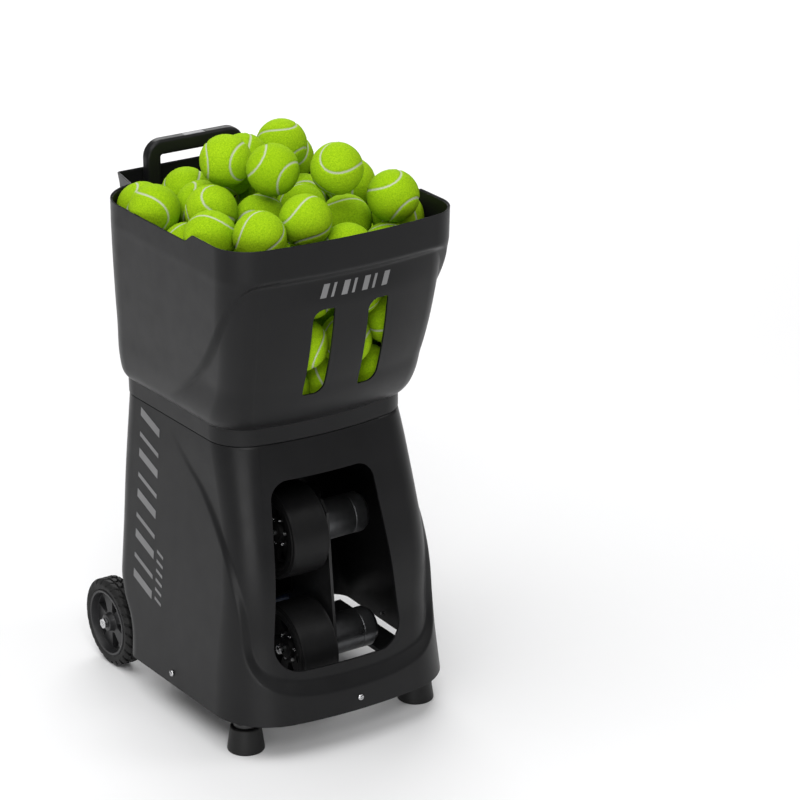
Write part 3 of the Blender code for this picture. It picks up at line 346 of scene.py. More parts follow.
def board_paint(name):
    """Solder mask with copper tracks under it."""
    paint = Paint(name, (0.012, 0.085, 0.030), 0.35)
    tracks = paint.node("ShaderNodeTexBrick", {
        "Scale": 90.0, "Mortar Size": 0.04, "Mortar": (0.045, 0.150, 0.050, 1),
        "Color1": (0.010, 0.075, 0.026, 1), "Color2": (0.014, 0.095, 0.034, 1)})
    paint.link(paint.place, tracks.inputs["Vector"])
    paint.feed(tracks.outputs["Color"], "Base Color")
    paint.feed(paint.spread(paint.noise(60.0), 0.28, 0.42), "Roughness")
    paint.edges(0.0004)
    paint.bump(tracks.outputs["Fac"], 0.00005, 0.5)
    return paint.done()


def felt_paint(name):
    """Tennis ball felt, in a slightly different tone on each ball, with a pale seam."""
    paint = Paint(name, (0.300, 0.530, 0.010), 0.9)
    chance = paint.node("ShaderNodeObjectInfo").outputs["Random"]
    tone = paint.mix(paint.spread(chance, 0.0, 1.0, 0.0, 1.0), (0.315, 0.520, 0.006), (0.365, 0.580, 0.009))
    tufts = paint.spread(paint.noise(620.0, 4.0, rough=0.75), 0.0, 1.0, 0.30, 0.62)
    felt = paint.mix(tufts, (0.165, 0.330, 0.002), tone)
    seam = paint.node("ShaderNodeAttribute", attribute_name="seam").outputs["Fac"]
    paint.feed(paint.mix(seam, felt, (0.46, 0.50, 0.36)), "Base Color")
    paint.feed(paint.spread(paint.noise(200.0), 0.86, 0.98), "Roughness")
    paint.put(0.10, "Specular IOR Level")
    paint.bump(paint.noise(560.0, 4.0, rough=0.7), 0.0005, 0.6)
    return paint.done()


def floor_paint(name):
    """Pale studio paper with hardly any change of tone."""
    paint = Paint(name, (0.86, 0.86, 0.865), 0.75)
    varied(paint, 1.2, 0.006, 0.05)
    return paint.done()


PAINTS = {
    **{slot: plastic(slot + "_plastic", (0.0085, 0.0085, 0.0090), 0.37, specular=0.19)
       for slot in ("shell", "hopper")},
    "inner_plastic": plastic("inner_plastic", (0.006, 0.006, 0.0063), 0.5, specular=0.2),
    "tyre": rubber("tyre_rubber", (0.010, 0.010, 0.010), 0.62, dust=0.10, specular=0.25),
    "foot_rubber": rubber("foot_rubber", (0.0085, 0.0085, 0.0085), 0.50, dust=0.04, specular=0.25),
    "tread_rubber": rubber("tread_rubber", (0.0065, 0.0065, 0.0068), 0.44, 1600.0, dust=0.03,
                           specular=0.16),
    "wheel_rim": plastic("rim_plastic", (0.017, 0.017, 0.018), 0.38, specular=0.3),
    "bright_steel": metal("bright_steel", (0.52, 0.52, 0.53), 0.26),
    "plated_steel": metal("plated_steel", (0.42, 0.43, 0.44), 0.30, (1.0, 1.0, 0.05)),
    "painted_frame": painted("painted_frame", (0.010, 0.010, 0.0105)),
    "motor": metal("motor_can", (0.110, 0.112, 0.116), 0.34, (1.0, 0.12, 0.12), 700.0, 0.0006, 0.6,
                   metallic=0.90, changes=(30.0, 0.25, 0.08)),
    "handle_plastic": plastic("handle_plastic", (0.0080, 0.0080, 0.0085), 0.38, 1100.0, 0.00008,
                              specular=0.2),
    "gear_nylon": plastic("gear_nylon", (0.50, 0.50, 0.47), 0.45, 600.0, 0.00006, 0.0004),
    "circuit_board": board_paint("circuit_board"),
    "battery_case": plastic("battery_film", (0.018, 0.042, 0.11), 0.30, 260.0, 0.00012, 0.0015),
    "button_plastic": plastic("button_plastic", (0.17, 0.17, 0.18), 0.45, 1200.0, 0.00006, 0.0006),
    "control_face": plastic("control_face", (0.008, 0.008, 0.009), 0.16, 1500.0, 0.00002, 0.0006),
    "mark": plastic("mark_ink", (0.175, 0.175, 0.178), 0.5, 900.0, 0.00008, 0.0001),
    "felt": felt_paint("ball_felt"),
    "screen": plastic("screen_glass", (0.004, 0.008, 0.009), 0.10, 300.0, 0.00001, 0.0003),
    "lamp": plastic("lamp_plastic", (0.10, 0.40, 0.05), 0.30, 800.0, 0.00003, 0.0003),
}


# ---------------------------------------------------------------- mesh helpers
def link_object(name, data):
    obj = bpy.data.objects.new(name, data)
    bpy.context.scene.collection.objects.link(obj)
    return obj


def shade(mesh, angle=32.0):
    mesh.shade_smooth()
    mesh.set_sharp_from_angle(angle=radians(angle))


def mesh_from_bm(bm, name):
    mesh = bpy.data.meshes.new(name)
    bm.to_mesh(mesh)
    bm.free()
    return mesh


def merged(parts, name):
    """Several objects' meshes in one. The objects are removed."""
    bm = bmesh.new()
    for part in parts:
        mesh = part.data.copy()
        mesh.transform(part.matrix_world)
        bm.from_mesh(mesh)
    for part in parts:
        bpy.data.objects.remove(part)
    return link_object(name, mesh_from_bm(bm, name))


def tidy_normals(obj, merge=True):
    """Turns every face outwards, after merging the points that lie on each other."""
    bm = bmesh.new()
    bm.from_mesh(obj.data)
    if merge:
        bmesh.ops.remove_doubles(bm, verts=bm.verts, dist=SAME_POINT)
    bmesh.ops.recalc_face_normals(bm, faces=bm.faces)
    bm.to_mesh(obj.data)
    bm.free()


def grid_object(name, rows, close_loop=True, cap=False):
    """Rows of points joined into a surface. Each row is a loop, or an open line if close_loop is off."""
    rows = np.asarray(rows, float)
    count, width = rows.shape[0], rows.shape[1]
    across = width if close_loop else width - 1
    i, j = np.meshgrid(np.arange(count - 1) * width, np.arange(across), indexing="ij")
    k = (j + 1) % width
    faces = np.stack((i + j, i + k, i + width + k, i + width + j), -1).reshape(-1, 4).tolist()
    if cap:
        faces.append(list(range(width - 1, -1, -1)))
        faces.append(list(range((count - 1) * width, count * width)))
    mesh = bpy.data.meshes.new(name)
    mesh.from_pydata(rows.reshape(-1, 3).tolist(), [], faces)
    mesh.update()
    return link_object(name, mesh)


def baked(obj):
    """Applies an object's modifiers to its mesh."""
    bpy.context.view_layer.update()
    mesh = bpy.data.meshes.new_from_object(obj.evaluated_get(bpy.context.evaluated_depsgraph_get()))
    mesh.name = obj.name
    obj.modifiers.clear()
    obj.data = mesh
    return obj


def thicken(obj, thickness=WALL):
    skin = obj.modifiers.new("wall", "SOLIDIFY")
    skin.thickness = thickness
    skin.offset = -1
    skin.use_even_offset = True
    return baked(obj)


def boolean(obj, cutters, operation="DIFFERENCE"):
    """Cuts closed solids from a mesh, all in one go, and removes them."""
    cutter = merged(cutters, "cutter") if len(cutters) > 1 else cutters[0]
    bpy.context.view_layer.update()
    before = len(obj.data.vertices)
    modifier = obj.modifiers.new("cut", "BOOLEAN")
    modifier.operation = operation
    modifier.object = cutter
    modifier.solver = "MANIFOLD"
    bpy.context.view_layer.update()
    result = obj.evaluated_get(bpy.context.evaluated_depsgraph_get())
    if len(result.data.vertices) in (0, before):
        modifier.solver = "EXACT"
    baked(obj)
    bpy.data.objects.remove(cutter)
    return obj


def prism(name, pairs, low, high, axis="Y"):
    """A flat outline between two planes, given as (x, z) pairs for axis Y and (y, z) pairs for X."""
    place = {"X": 0, "Y": 1}[axis]
    rows = [[(*pair[:place], plane, *pair[place:]) for pair in pairs] for plane in (low, high)]
    obj = grid_object(name, rows, cap=True)
    tidy_normals(obj, merge=False)
    return obj


def box(name, low, high):
    corners = ((low[0], low[2]), (high[0], low[2]), (high[0], high[2]), (low[0], high[2]))
    return prism(name, corners, low[1], high[1])


def circle(centre, radius, count=48):
    angles = [2 * pi * i / count for i in range(count)]
    return [(centre[0] + radius * cos(a), centre[1] + radius * sin(a)) for a in angles]


AXES = {
    "X": Matrix.Rotation(pi / 2, 4, "Y"),
    "-X": Matrix.Rotation(-pi / 2, 4, "Y"),
    "Y": Matrix.Rotation(-pi / 2, 4, "X"),
    "-Y": Matrix.Rotation(pi / 2, 4, "X"),
    "Z": Matrix.Identity(4),
}


def turned(name, profile, centre, axis="Z", sides=64, closed=False):
    """A profile of (radius, height) points turned about an axis. Points on the axis close the ends."""
    angles = np.linspace(0, 2 * pi, sides, endpoint=False)
    x, y = np.cos(angles), np.sin(angles)
    rows = []
    for radius, height in profile + (profile[:1] if closed else []):
        rows.append(np.stack((radius * x, radius * y, np.full(sides, height)), -1))
    obj = grid_object(name, rows)
    tidy_normals(obj)
    obj.data.transform(Matrix.Translation(centre) @ AXES[axis])
    shade(obj.data)
    return obj


def rounded(points, radius, steps=5):
    """An open profile with its inner corners rounded."""
    result = [points[0]]
    for before, corner, after in zip(points, points[1:], points[2:]):
        a, b, c = Vector(before), Vector(corner), Vector(after)
        reach = min(radius, (a - b).length * 0.45, (c - b).length * 0.45)
        start, end = b + (a - b).normalized() * reach, b + (c - b).normalized() * reach
        for step in range(steps + 1):
            t = step / steps
            result.append(tuple(start * (1 - t) ** 2 + b * 2 * t * (1 - t) + end * t * t))
    result.append(points[-1])
    return result


def joined(name, parts):
    """Several objects in one shaded mesh."""
    obj = merged(parts, name)
    shade(obj.data)
    return obj


def piece(obj, body, slot, *nodes, paint=None, angle=None):
    """Finishes a piece: its shading, its material, the body it rides on and the CAD nodes it stands for."""
    if angle:
        shade(obj.data, angle)
    obj.data.materials.clear()
    obj.data.materials.append(PAINTS[paint or slot])
    if nodes:
        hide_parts(*nodes)
    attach(obj, body)
    return obj


# ---------------------------------------------------------------- shells
def arc_rows(centre_x, centre_y, radius, angle):
    """Part of a level along an arc: rows x, y, outward normal x and y."""
    x, y = np.cos(angle), np.sin(angle)
    return np.stack((centre_x + radius * x, centre_y + radius * y, x, y), -1)


def section(profile, z):
    """One level of a shell: its front, its right-hand side as rows x, y, nx, ny, and its rear as a line."""
    width, front, rear, radius, rear_radius, bow = (float(read_table(profile, z, c)) for c in range(1, 7))
    flare = REAR_FLARE * (1 - float(smooth(z, *FLARE_END_Z)))
    turn = 0.0
    for _ in range(5):  # the corner's start and the bow's slope there depend on each other
        reach = width - radius * (1 - sin(turn))
        turn = atan2(2 * bow, reach)
    t = np.linspace(-1, 1, FRONT_POINTS, endpoint=False)
    front_part = np.stack((t * reach, front - bow * (1 - t * t), np.sin(turn * t), -np.cos(turn * t)), -1)
    angle = turn - pi / 2 + (pi / 2 - turn) * np.arange(CORNER_POINTS) / CORNER_POINTS
    centre_y = front + radius * cos(turn)
    corner = arc_rows(width - radius, centre_y, radius, angle)
    share = np.arange(SIDE_POINTS) / SIDE_POINTS
    ones = np.ones(SIDE_POINTS)
    side_y = centre_y + (rear - rear_radius - centre_y) * share
    side = np.stack((width + flare * share, side_y, ones, 0 * ones), -1)
    centre_x = width + flare - rear_radius
    half = float(read_table(COLUMN_PROFILE, z, 2))
    depth = float(read_table(COLUMN_PROFILE, z))
    over = min(max((half + COLUMN_STEP - centre_x) / rear_radius, 0.0), 1.0)
    angle = acos(over) * np.arange(REAR_ARC_POINTS) / REAR_ARC_POINTS
    arc = arc_rows(centre_x, rear - rear_radius, rear_radius, angle)
    beyond = max(half - centre_x, 0.0)
    half_y = rear - rear_radius + sqrt(rear_radius**2 - beyond**2)
    end = (centre_x + rear_radius * over, rear - rear_radius + rear_radius * sqrt(1 - over**2))
    inner = half - COLUMN_SLANT
    line = rounded([end, (half, half_y), (inner, rear + depth), (0.0, rear + depth)], COLUMN_ROUNDING, 6)
    spread = [line[0]]
    for a, b in zip(line, line[1:]):
        pieces = 8 if (Vector(b) - Vector(a)).length > 0.02 or len(spread) in (1, 8) else 1
        for step in range(pieces):
            share = (step + 1) / pieces
            spread.append((a[0] + (b[0] - a[0]) * share, a[1] + (b[1] - a[1]) * share))
    return front_part, np.concatenate((corner, side, arc)), spread


def resampled(line, count):
    """Points spread evenly along a line."""
    points = np.array(line)
    lengths = np.concatenate(([0], np.cumsum(np.linalg.norm(np.diff(points, axis=0), axis=1))))
    wanted = np.linspace(0, lengths[-1], count)
    return np.stack([np.interp(wanted, lengths, column) for column in points.T], -1)


def level(profile, z):
    """section() as one closed loop of rows x, y, nx, ny."""
    front_part, right, line = section(profile, z)
    rear = resampled(line, REAR_POINTS)
    zeros, ones = np.zeros(len(rear)), np.ones(len(rear))
    rear = np.stack((rear[:, 0], rear[:, 1], zeros, ones), -1)
    mirror = np.array([-1.0, 1.0, -1.0, 1.0])
    return np.concatenate((front_part, right, rear, (rear[:-1] * mirror)[::-1], (right * mirror)[::-1]))


def panel_depth(y, z):
    """How far the hopper's front panel is pressed in."""
    inside = smooth(read_table(PANEL_EDGE, z) - y, *PANEL_EDGE_RAMP)
    inside = inside * (1 - smooth(z, *PANEL_TOP_RAMP))
    return PANEL_RECESS * inside * smooth(z, *PANEL_FADE_Z)


def rim_height(y):
    return RIM_FRONT_Z - (RIM_FRONT_Z - RIM_SIDE_Z) * smooth(y, RIM_STEP_START_Y, RIM_STEP_END_Y)


def pressed_in(loop, depth, z):
    """A level's points moved inwards by a depth, as rows x, y, z."""
    x, y, nx, ny = loop.T
    return np.stack((x - nx * depth, y - ny * depth, np.full(len(x), z)), -1)


def hopper_row(z, inset=0.0):
    loop = level(HOPPER_PROFILE, z)
    return pressed_in(loop, panel_depth(loop[:, 1], z) + inset, z)


def distances_round(loop):
    """Each point's distance along the wall from the middle of the front, the shorter way round."""
    middle = FRONT_POINTS // 2
    line = np.roll(loop[:, :2], -middle, axis=0)
    steps = np.linalg.norm(np.diff(line, axis=0, append=line[:1]), axis=1)
    ahead = np.concatenate(([0.0], np.cumsum(steps)[:-1]))
    return np.roll(np.minimum(ahead, steps.sum() - ahead), middle)


def face_depth(distance, z):
    """How far the face round the window is pressed in, at a distance round the wall and a height."""
    bottom_ledge, ledge = FACE_LEDGE
    if z >= FACE_ROUND_TOP_Z:
        inside = read_table(FACE_EDGE, z) - distance
    else:
        power, half, height = FACE_ROUNDNESS, FACE_EDGE[0][1], FACE_ROUND_TOP_Z - FACE_BOTTOM_Z
        across, down = distance / half, (FACE_ROUND_TOP_Z - z) / height
        reach = (across**power + down**power) ** (1 / power)
        rise = np.hypot(across ** (power - 1) / half, down ** (power - 1) / height)
        ledge = ledge + (bottom_ledge - ledge) * (down / reach) ** power
        inside = (1 - reach) * reach ** (power - 1) / rise
    side_share = 1 - (1 - FACE_SIDE_SHARE) * smooth(z, *FACE_SIDE_Z)
    return FACE_RECESS * side_share * (1 - smooth(z, *FACE_FADE_Z)) * ramp(inside / ledge + 0.5)


def ramp(share, soft=0.12):
    """0 to 1 in a straight line with its two ends rounded off."""
    t = np.clip(share, -soft, 1 + soft)
    low = (t + soft) ** 2 / (4 * soft)
    high = 1 - (1 + soft - t) ** 2 / (4 * soft)
    return np.where(t < soft, low, np.where(t > 1 - soft, high, t))


def base_row(z, inset=0.0):
    loop = level(BASE_PROFILE, z)
    return pressed_in(loop, face_depth(distances_round(loop), z) + inset, z)


def outline(corners, steps):
    """A shape with four rounded corners (x, z, radius), anticlockwise from the low left one."""
    points = []
    for corner, (x, z, radius) in enumerate(corners):
        start = 180 + 90 * corner
        centre_x = x + radius * (1 if corner in (0, 3) else -1)
        centre_z = z + radius * (1 if corner in (0, 1) else -1)
        for step in range(steps + 1):
            angle = radians(start % 360 + 90 * step / steps)
            points.append((centre_x + radius * cos(angle), centre_z + radius * sin(angle)))
    return points


def plate_outline(left, right, low, high, radius, steps=6):
    corners = ((left, low), (right, low), (right, high), (left, high))
    return outline([(x, z, radius) for x, z in corners], steps)


def slot_outline(centre_x):
    """A slot with two opposite corners widely rounded and the other two only a little."""
    low_z, high_z = SLOT_CENTRE_Z - SLOT_HEIGHT / 2, SLOT_CENTRE_Z + SLOT_HEIGHT / 2
    left, right = centre_x - SLOT_WIDTH / 2, centre_x + SLOT_WIDTH / 2
    small, wide = SLOT_RADII
    return outline((
        (left, low_z, small), (right, low_z, wide), (right, high_z, small), (left, high_z, wide)), 12)


def window_outline():
    x, low, high = WINDOW_CENTRE_X, WINDOW_HALF_BOTTOM, WINDOW_HALF_TOP
    return outline((
        (x - low, WINDOW_BOTTOM_Z, WINDOW_BOTTOM_RADIUS),
        (x + low, WINDOW_BOTTOM_Z, WINDOW_BOTTOM_RADIUS),
        (x + high, WINDOW_TOP_Z, WINDOW_TOP_RADIUS),
        (x - high, WINDOW_TOP_Z, WINDOW_TOP_RADIUS),
    ), 16)


def build_hopper():
    heights = np.r_[0.412:0.4335:0.0035, 0.4340, 0.4344, 0.4362, 0.4382, 0.4402, 0.4425, 0.445,
                    0.448:0.640:0.0035, 0.640:0.662:0.0014, 0.665, LAST_LEVEL_Z]
    rows = [hopper_row(SEAM_Z, 0.0009), hopper_row(SEAM_Z + 0.0008)]
    rows += [hopper_row(z) for z in heights]
    top = level(HOPPER_PROFILE, RIM_FRONT_Z)
    rim = pressed_in(top, 0.0, 0.0)
    rim[:, 2] = rim_height(top[:, 1])
    last = rows[-1]
    rows += [last + (rim - last) * share for share in (0.25, 0.5, 0.75, 0.93)]
    inwards = np.concatenate((-top[:, 2:], np.zeros((len(top), 1))), 1)
    rows += [rim - np.array([0, 0, RIM_ROUNDING]), rim + inwards * RIM_ROUNDING]
    shell = thicken(grid_object("hopper_body", rows))
    boolean(shell, [prism("slot", slot_outline(x), -0.260, -0.120) for x in SLOT_CENTRES_X])
    piece(shell, "machine", "hopper", "hopper_shell", angle=SHELL_ANGLE)


def base_surface(name):
    heights = np.r_[0.0504, 0.052:0.078:0.0033, 0.078:0.106:0.0014, 0.1065:0.408:0.0030]
    rows = [base_row(BASE_BOTTOM_Z, 0.0006)] + [base_row(z) for z in heights]
    rows += [base_row(SEAM_Z - GAP - 0.0009), base_row(SEAM_Z - GAP, 0.0011)]
    return thicken(grid_object(name, rows))


def build_base():
    shell = base_surface("base_body")
    (door_x, door_low, door_high), (ear_x, ear_half) = DOOR_OPENING, EAR_SLOT
    cutters = [
        prism("window", window_outline(), -0.260, -0.100),
        box("door_hole", (-door_x - DOOR_GAP, 0.080, door_low - DOOR_GAP),
            (door_x + DOOR_GAP, 0.180, door_high + DOOR_GAP)),
        box("panel_hole", *CONTROL_OPENING),
        prism("socket_hole", circle(*SOCKET_OPENING), 0.180, 0.212),
        box("rocker_hole", *ROCKER_OPENING),
    ]
    for x in (-ear_x, ear_x):
        cutters.append(box("ear_slot", (x - ear_half, 0.080, 0.040), (x + ear_half, 0.130, 0.081)))
    boolean(shell, cutters)
    piece(shell, "machine", "shell", "base_shell", angle=SHELL_ANGLE)


def build_door():
    """The battery flap: the part of the base's wall inside its opening."""
    door = base_surface("door_flap")
    x, low, high = DOOR_OPENING
    boolean(door, [box("door_keep", (-x, 0.070, low), (x, 0.190, high))], "INTERSECT")
    piece(door, "door", "shell", "battery_door", angle=SHELL_ANGLE)


def build_panel_details():
    """What is set into the control panel: a screen, lamps, screws, and a ring and a plain sign at
    each button."""
    low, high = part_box("control_panel")
    face = high.y

    def domes(name, profile, rounding, places):
        head = rounded(profile, rounding, 3)
        return joined(name, [turned("dome", head, (x, face, z), "Y", 24) for x, z in places])

    shape = plate_outline(-0.044, 0.024, 0.3180, 0.3520, 0.0025)
    screen = prism("panel_screen", shape, face, face + 0.0005)
    piece(screen, "machine", "control_face", paint="screen", angle=30)
    lamp = [(0.0, 0.0009), (0.0016, 0.0007), (0.0020, 0.0), (0.0020, -0.0002)]
    lamps = domes("panel_lamps", lamp, 0.0004, [(0.0370, 0.3210 + 0.0070 * i) for i in range(5)])
    piece(lamps, "machine", "control_face", paint="lamp")
    signs = []
    for number, tip in ((1, 0.0030), (2, 0.0), (3, -0.0030)):
        button_low, button_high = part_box(f"panel_button_{number}")
        x, z = (button_low.x + button_high.x) / 2, (button_low.z + button_high.z) / 2
        inner = (button_high.x - button_low.x) / 2 + 0.0010
        ring = [(inner, -0.0001), (inner, 0.0004), (inner + 0.0010, 0.0004), (inner + 0.0010, -0.0001)]
        signs.append(turned("ring", ring, (x, face, z), "Y", 48, closed=True))
        middle = z + 0.0145
        if tip:
            shape = [(x - 0.0030, middle - tip / 2), (x + 0.0030, middle - tip / 2), (x, middle + tip)]
        else:
            shape = plate_outline(x - 0.0030, x + 0.0030, z + 0.0140, z + 0.0152, 0.0004, 3)
        signs.append(prism("sign", shape, face - 0.0001, face + 0.0002))
    piece(joined("panel_signs", signs), "machine", "control_face", paint="mark")
    screw = [(0.0026, -0.0002), (0.0026, 0.0006), (0.0012, 0.0011), (0.0010, 0.0004), (0.0, 0.0004)]
    corners = [(x, z) for x in (low.x + 0.006, high.x - 0.006) for z in (low.z + 0.006, high.z - 0.006)]
    piece(domes("panel_screws", screw, 0.0004, corners), "machine", "control_face", paint="bright_steel")


def build_door_latch():
    """A ribbed finger latch on the battery flap's lower half."""
    ribs = []
    for z in [0.0960 + 0.0034 * i for i in range(5)]:
        row = base_row(z)
        y = float(row[np.abs(row[:, 0]) < 0.02][:, 1].max())
        rib = [(y + out, z + up) for out, up in
               ((-0.0008, -0.0010), (0.0012, -0.0007), (0.0012, 0.0007), (-0.0008, 0.0010))]
        ribs.append(prism("rib", rib, -0.0150, 0.0150, "X"))
    piece(joined("door_latch", ribs), "door", "shell")


# ---------------------------------------------------------------- running gear
def node_box(node):
    """A CAD node's box: its low corner, high corner and middle."""
    low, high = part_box(node)
    return low, high, (low + high) / 2


def build_tyre(label):
    """A tyre with three staggered rows of blocks that run over its shoulders."""
    low, high, centre = node_box("trolley_tyre_" + label)
    half = (high.x - low.x) / 2
    outer, inner = TROLLEY_RADIUS, TROLLEY_RIM_RADIUS
    angles = np.linspace(0, 2 * pi, TYRE_POINTS, endpoint=False)
    across = np.concatenate(([-0.90, -0.97, -1.0], np.linspace(-0.995, 0.995, 64), [1.0, 0.97, 0.90]))
    rows = []
    for index, u in enumerate(across):
        from_bead = min(index, len(across) - 1 - index)
        side = abs(u)
        radius = outer - 0.0062 * (max(side - 0.62, 0.0) / 0.38) ** 2.2
        radius = {0: inner, 1: inner + 0.0035, 2: outer - 0.0085}.get(from_bead, radius)
        phase = angles * TYRE_BLOCKS / (2 * pi) + (0.0 if side < TREAD_LINE else 0.5) + 0.9 * side
        cell = np.abs((phase % 1.0) - 0.5) * 2
        gap_line = 1 - smooth(abs(side - TREAD_LINE), 0.045, 0.085)
        fade = (1 - smooth(side, 0.985, 1.0)) * (from_bead >= 3)
        r = radius - TREAD_DEPTH * np.maximum(smooth(cell, 0.66, 0.80), gap_line) * fade
        rows.append(np.stack((np.full(TYRE_POINTS, centre.x + u * half), centre.y + r * np.cos(angles),
                              centre.z + r * np.sin(angles)), -1))
    tyre = grid_object("tyre_" + label, rows + rows[:1])
    tidy_normals(tyre)
    piece(tyre, "trolley_wheel_" + label, "tyre", "trolley_tyre_" + label, angle=38)


def wedge(centre, angle, radii, spread, depth):
    """A wedge-shaped cutter, narrower inside, through a wheel whose axis is X. Angles are in degrees."""
    inner, outer = radii
    points = []
    for radius, order in ((outer, np.linspace(-1, 1, 9)), (inner, np.linspace(0.55, -0.55, 5))):
        for share in order:
            a = radians(angle) + share * radians(spread) / 2
            points.append((centre[1] + radius * cos(a), centre[2] + radius * sin(a)))
    return prism("wedge", points, centre[0] - depth, centre[0] + depth, "X")


def build_rim(label, axis):
    """A moulded rim: lipped barrel, flat webs with open wedges between them, and a hub boss."""
    low, high, centre = node_box("trolley_rim_" + label)
    half = (high.x - low.x) / 2
    rim = TROLLEY_RIM_RADIUS - GAP
    lip = rim - 0.0035
    outside = [(rim, half - 0.001), (rim - 0.0008, half), (lip, half - 0.0004),
               (lip - 0.0006, half - 0.0020), (lip - 0.0022, 0.0052), (0.0135, 0.0068), (0.0125, 0.0085),
               (0.0115, half - 0.0004), (0.0105, half), (0.0053, half)]
    inside = [(0.0053, -half), (0.0100, -half), (0.0120, -0.004), (lip - 0.0022, -0.004),
              (lip, -half + 0.001), (rim, -half + 0.001)]
    wheel = turned("rim_" + label, outside + inside, centre, axis, 96, closed=True)
    turns = [RIM_OPENING_TURN + 360 * opening / RIM_OPENINGS for opening in range(RIM_OPENINGS)]
    boolean(wheel, [wedge(centre, turn, RIM_OPENING_RADII, RIM_OPENING_SPREAD, 0.012) for turn in turns])
    piece(wheel, "trolley_wheel_" + label, "wheel_rim", "trolley_rim_" + label, angle=35)


def hex_nut(name, node, axis, body):
    """A hexagon nut along X with chamfered corners and a thread end standing in its middle."""
    low, high, centre = node_box(node)
    size = high - low
    height, radius = size.x, max(size.y, size.z) / 2
    rows = []
    for share, top in ((0.0, -0.5), (0.86, -0.5), (1.0, -0.42), (1.0, 0.30), (0.86, 0.5), (0.45, 0.5)):
        row = []
        for i in range(48):
            angle = 2 * pi * i / 48
            flat = cos(pi / 6) / cos((angle % (pi / 3)) - pi / 6)
            r = radius * share * flat * (1.0 if share > 0.9 else 0.98)
            row.append((r * cos(angle), r * sin(angle), height * top))
        rows.append(row)
    face = height * 0.5
    bolt = [(radius * 0.45, face), (radius * 0.43, face + 0.0004), (radius * 0.30, face + 0.0008),
            (0.0, face + 0.0009)]
    nut = joined(name, [grid_object(name, rows), turned("thread_end", bolt, (0, 0, 0), "Z", 32)])
    nut.data.transform(Matrix.Translation(centre) @ AXES[axis])
    tidy_normals(nut)
    piece(nut, body, "bright_steel", node, angle=25)


def build_foot(label):
    """A conical rubber foot and the collar of its stud."""
    low, high, middle = node_box("foot_" + label)
    bottom, top, height = (high.x - low.x) / 2, 0.0198, high.z - low.z
    pad = [(0.0, 0.0015), (bottom * 0.55, 0.0015), (bottom * 0.62, 0.0), (bottom - 0.0008, 0.0),
           (bottom, 0.0016), (top + 0.0008, height - 0.0012), (top - 0.0006, height), (0.0, height)]
    foot = turned("foot_pad_" + label, rounded(pad, 0.0012, 4), (middle.x, middle.y, low.z), "Z", 96)
    piece(foot, "machine", "foot_rubber", "foot_" + label)
    low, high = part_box("foot_stud_" + label)
    stud = [(0.0, low.z), (0.0155, low.z), (0.016, low.z + 0.0008), (0.016, low.z + 0.006),
            (0.0120, low.z + 0.0072), (0.0120, high.z - 0.0012), (0.0150, high.z - 0.0006),
            (0.0150, high.z), (0.0, high.z)]
    stud = turned("foot_collar_" + label, rounded(stud, 0.0008, 3), (middle.x, middle.y, 0.0), "Z", 64)
    piece(stud, "machine", "painted_frame", "foot_stud_" + label)


def build_screw(name, node, axis, centre):
    """A domed cross-recess screw head."""
    head = SCREW_HEAD_RADIUS
    dome = [(0.0024, -0.009), (0.0024, -0.0003), (head - 0.0002, -0.0003), (head, 0.0001)]
    dome += [(head * cos(a), SCREW_HEAD_HEIGHT * sin(a)) for a in np.linspace(0.1, pi / 2, 14)]
    screw = turned(name, dome, (0, 0, 0), "Z", 48)
    bm = bmesh.new()
    bm.from_mesh(screw.data)
    bmesh.ops.contextual_create(bm, geom=[e for e in bm.edges if e.is_boundary])
    bm.to_mesh(screw.data)
    bm.free()
    long, thin = 0.0019, 0.00032
    for x, y in ((long, thin), (thin, long)):
        boolean(screw, [box("arm", (-x, -y, 0.0014), (x, y, 0.006))])
    screw.data.transform(Matrix.Translation(centre) @ AXES[axis])
    piece(screw, "machine", "bright_steel", node, angle=30)


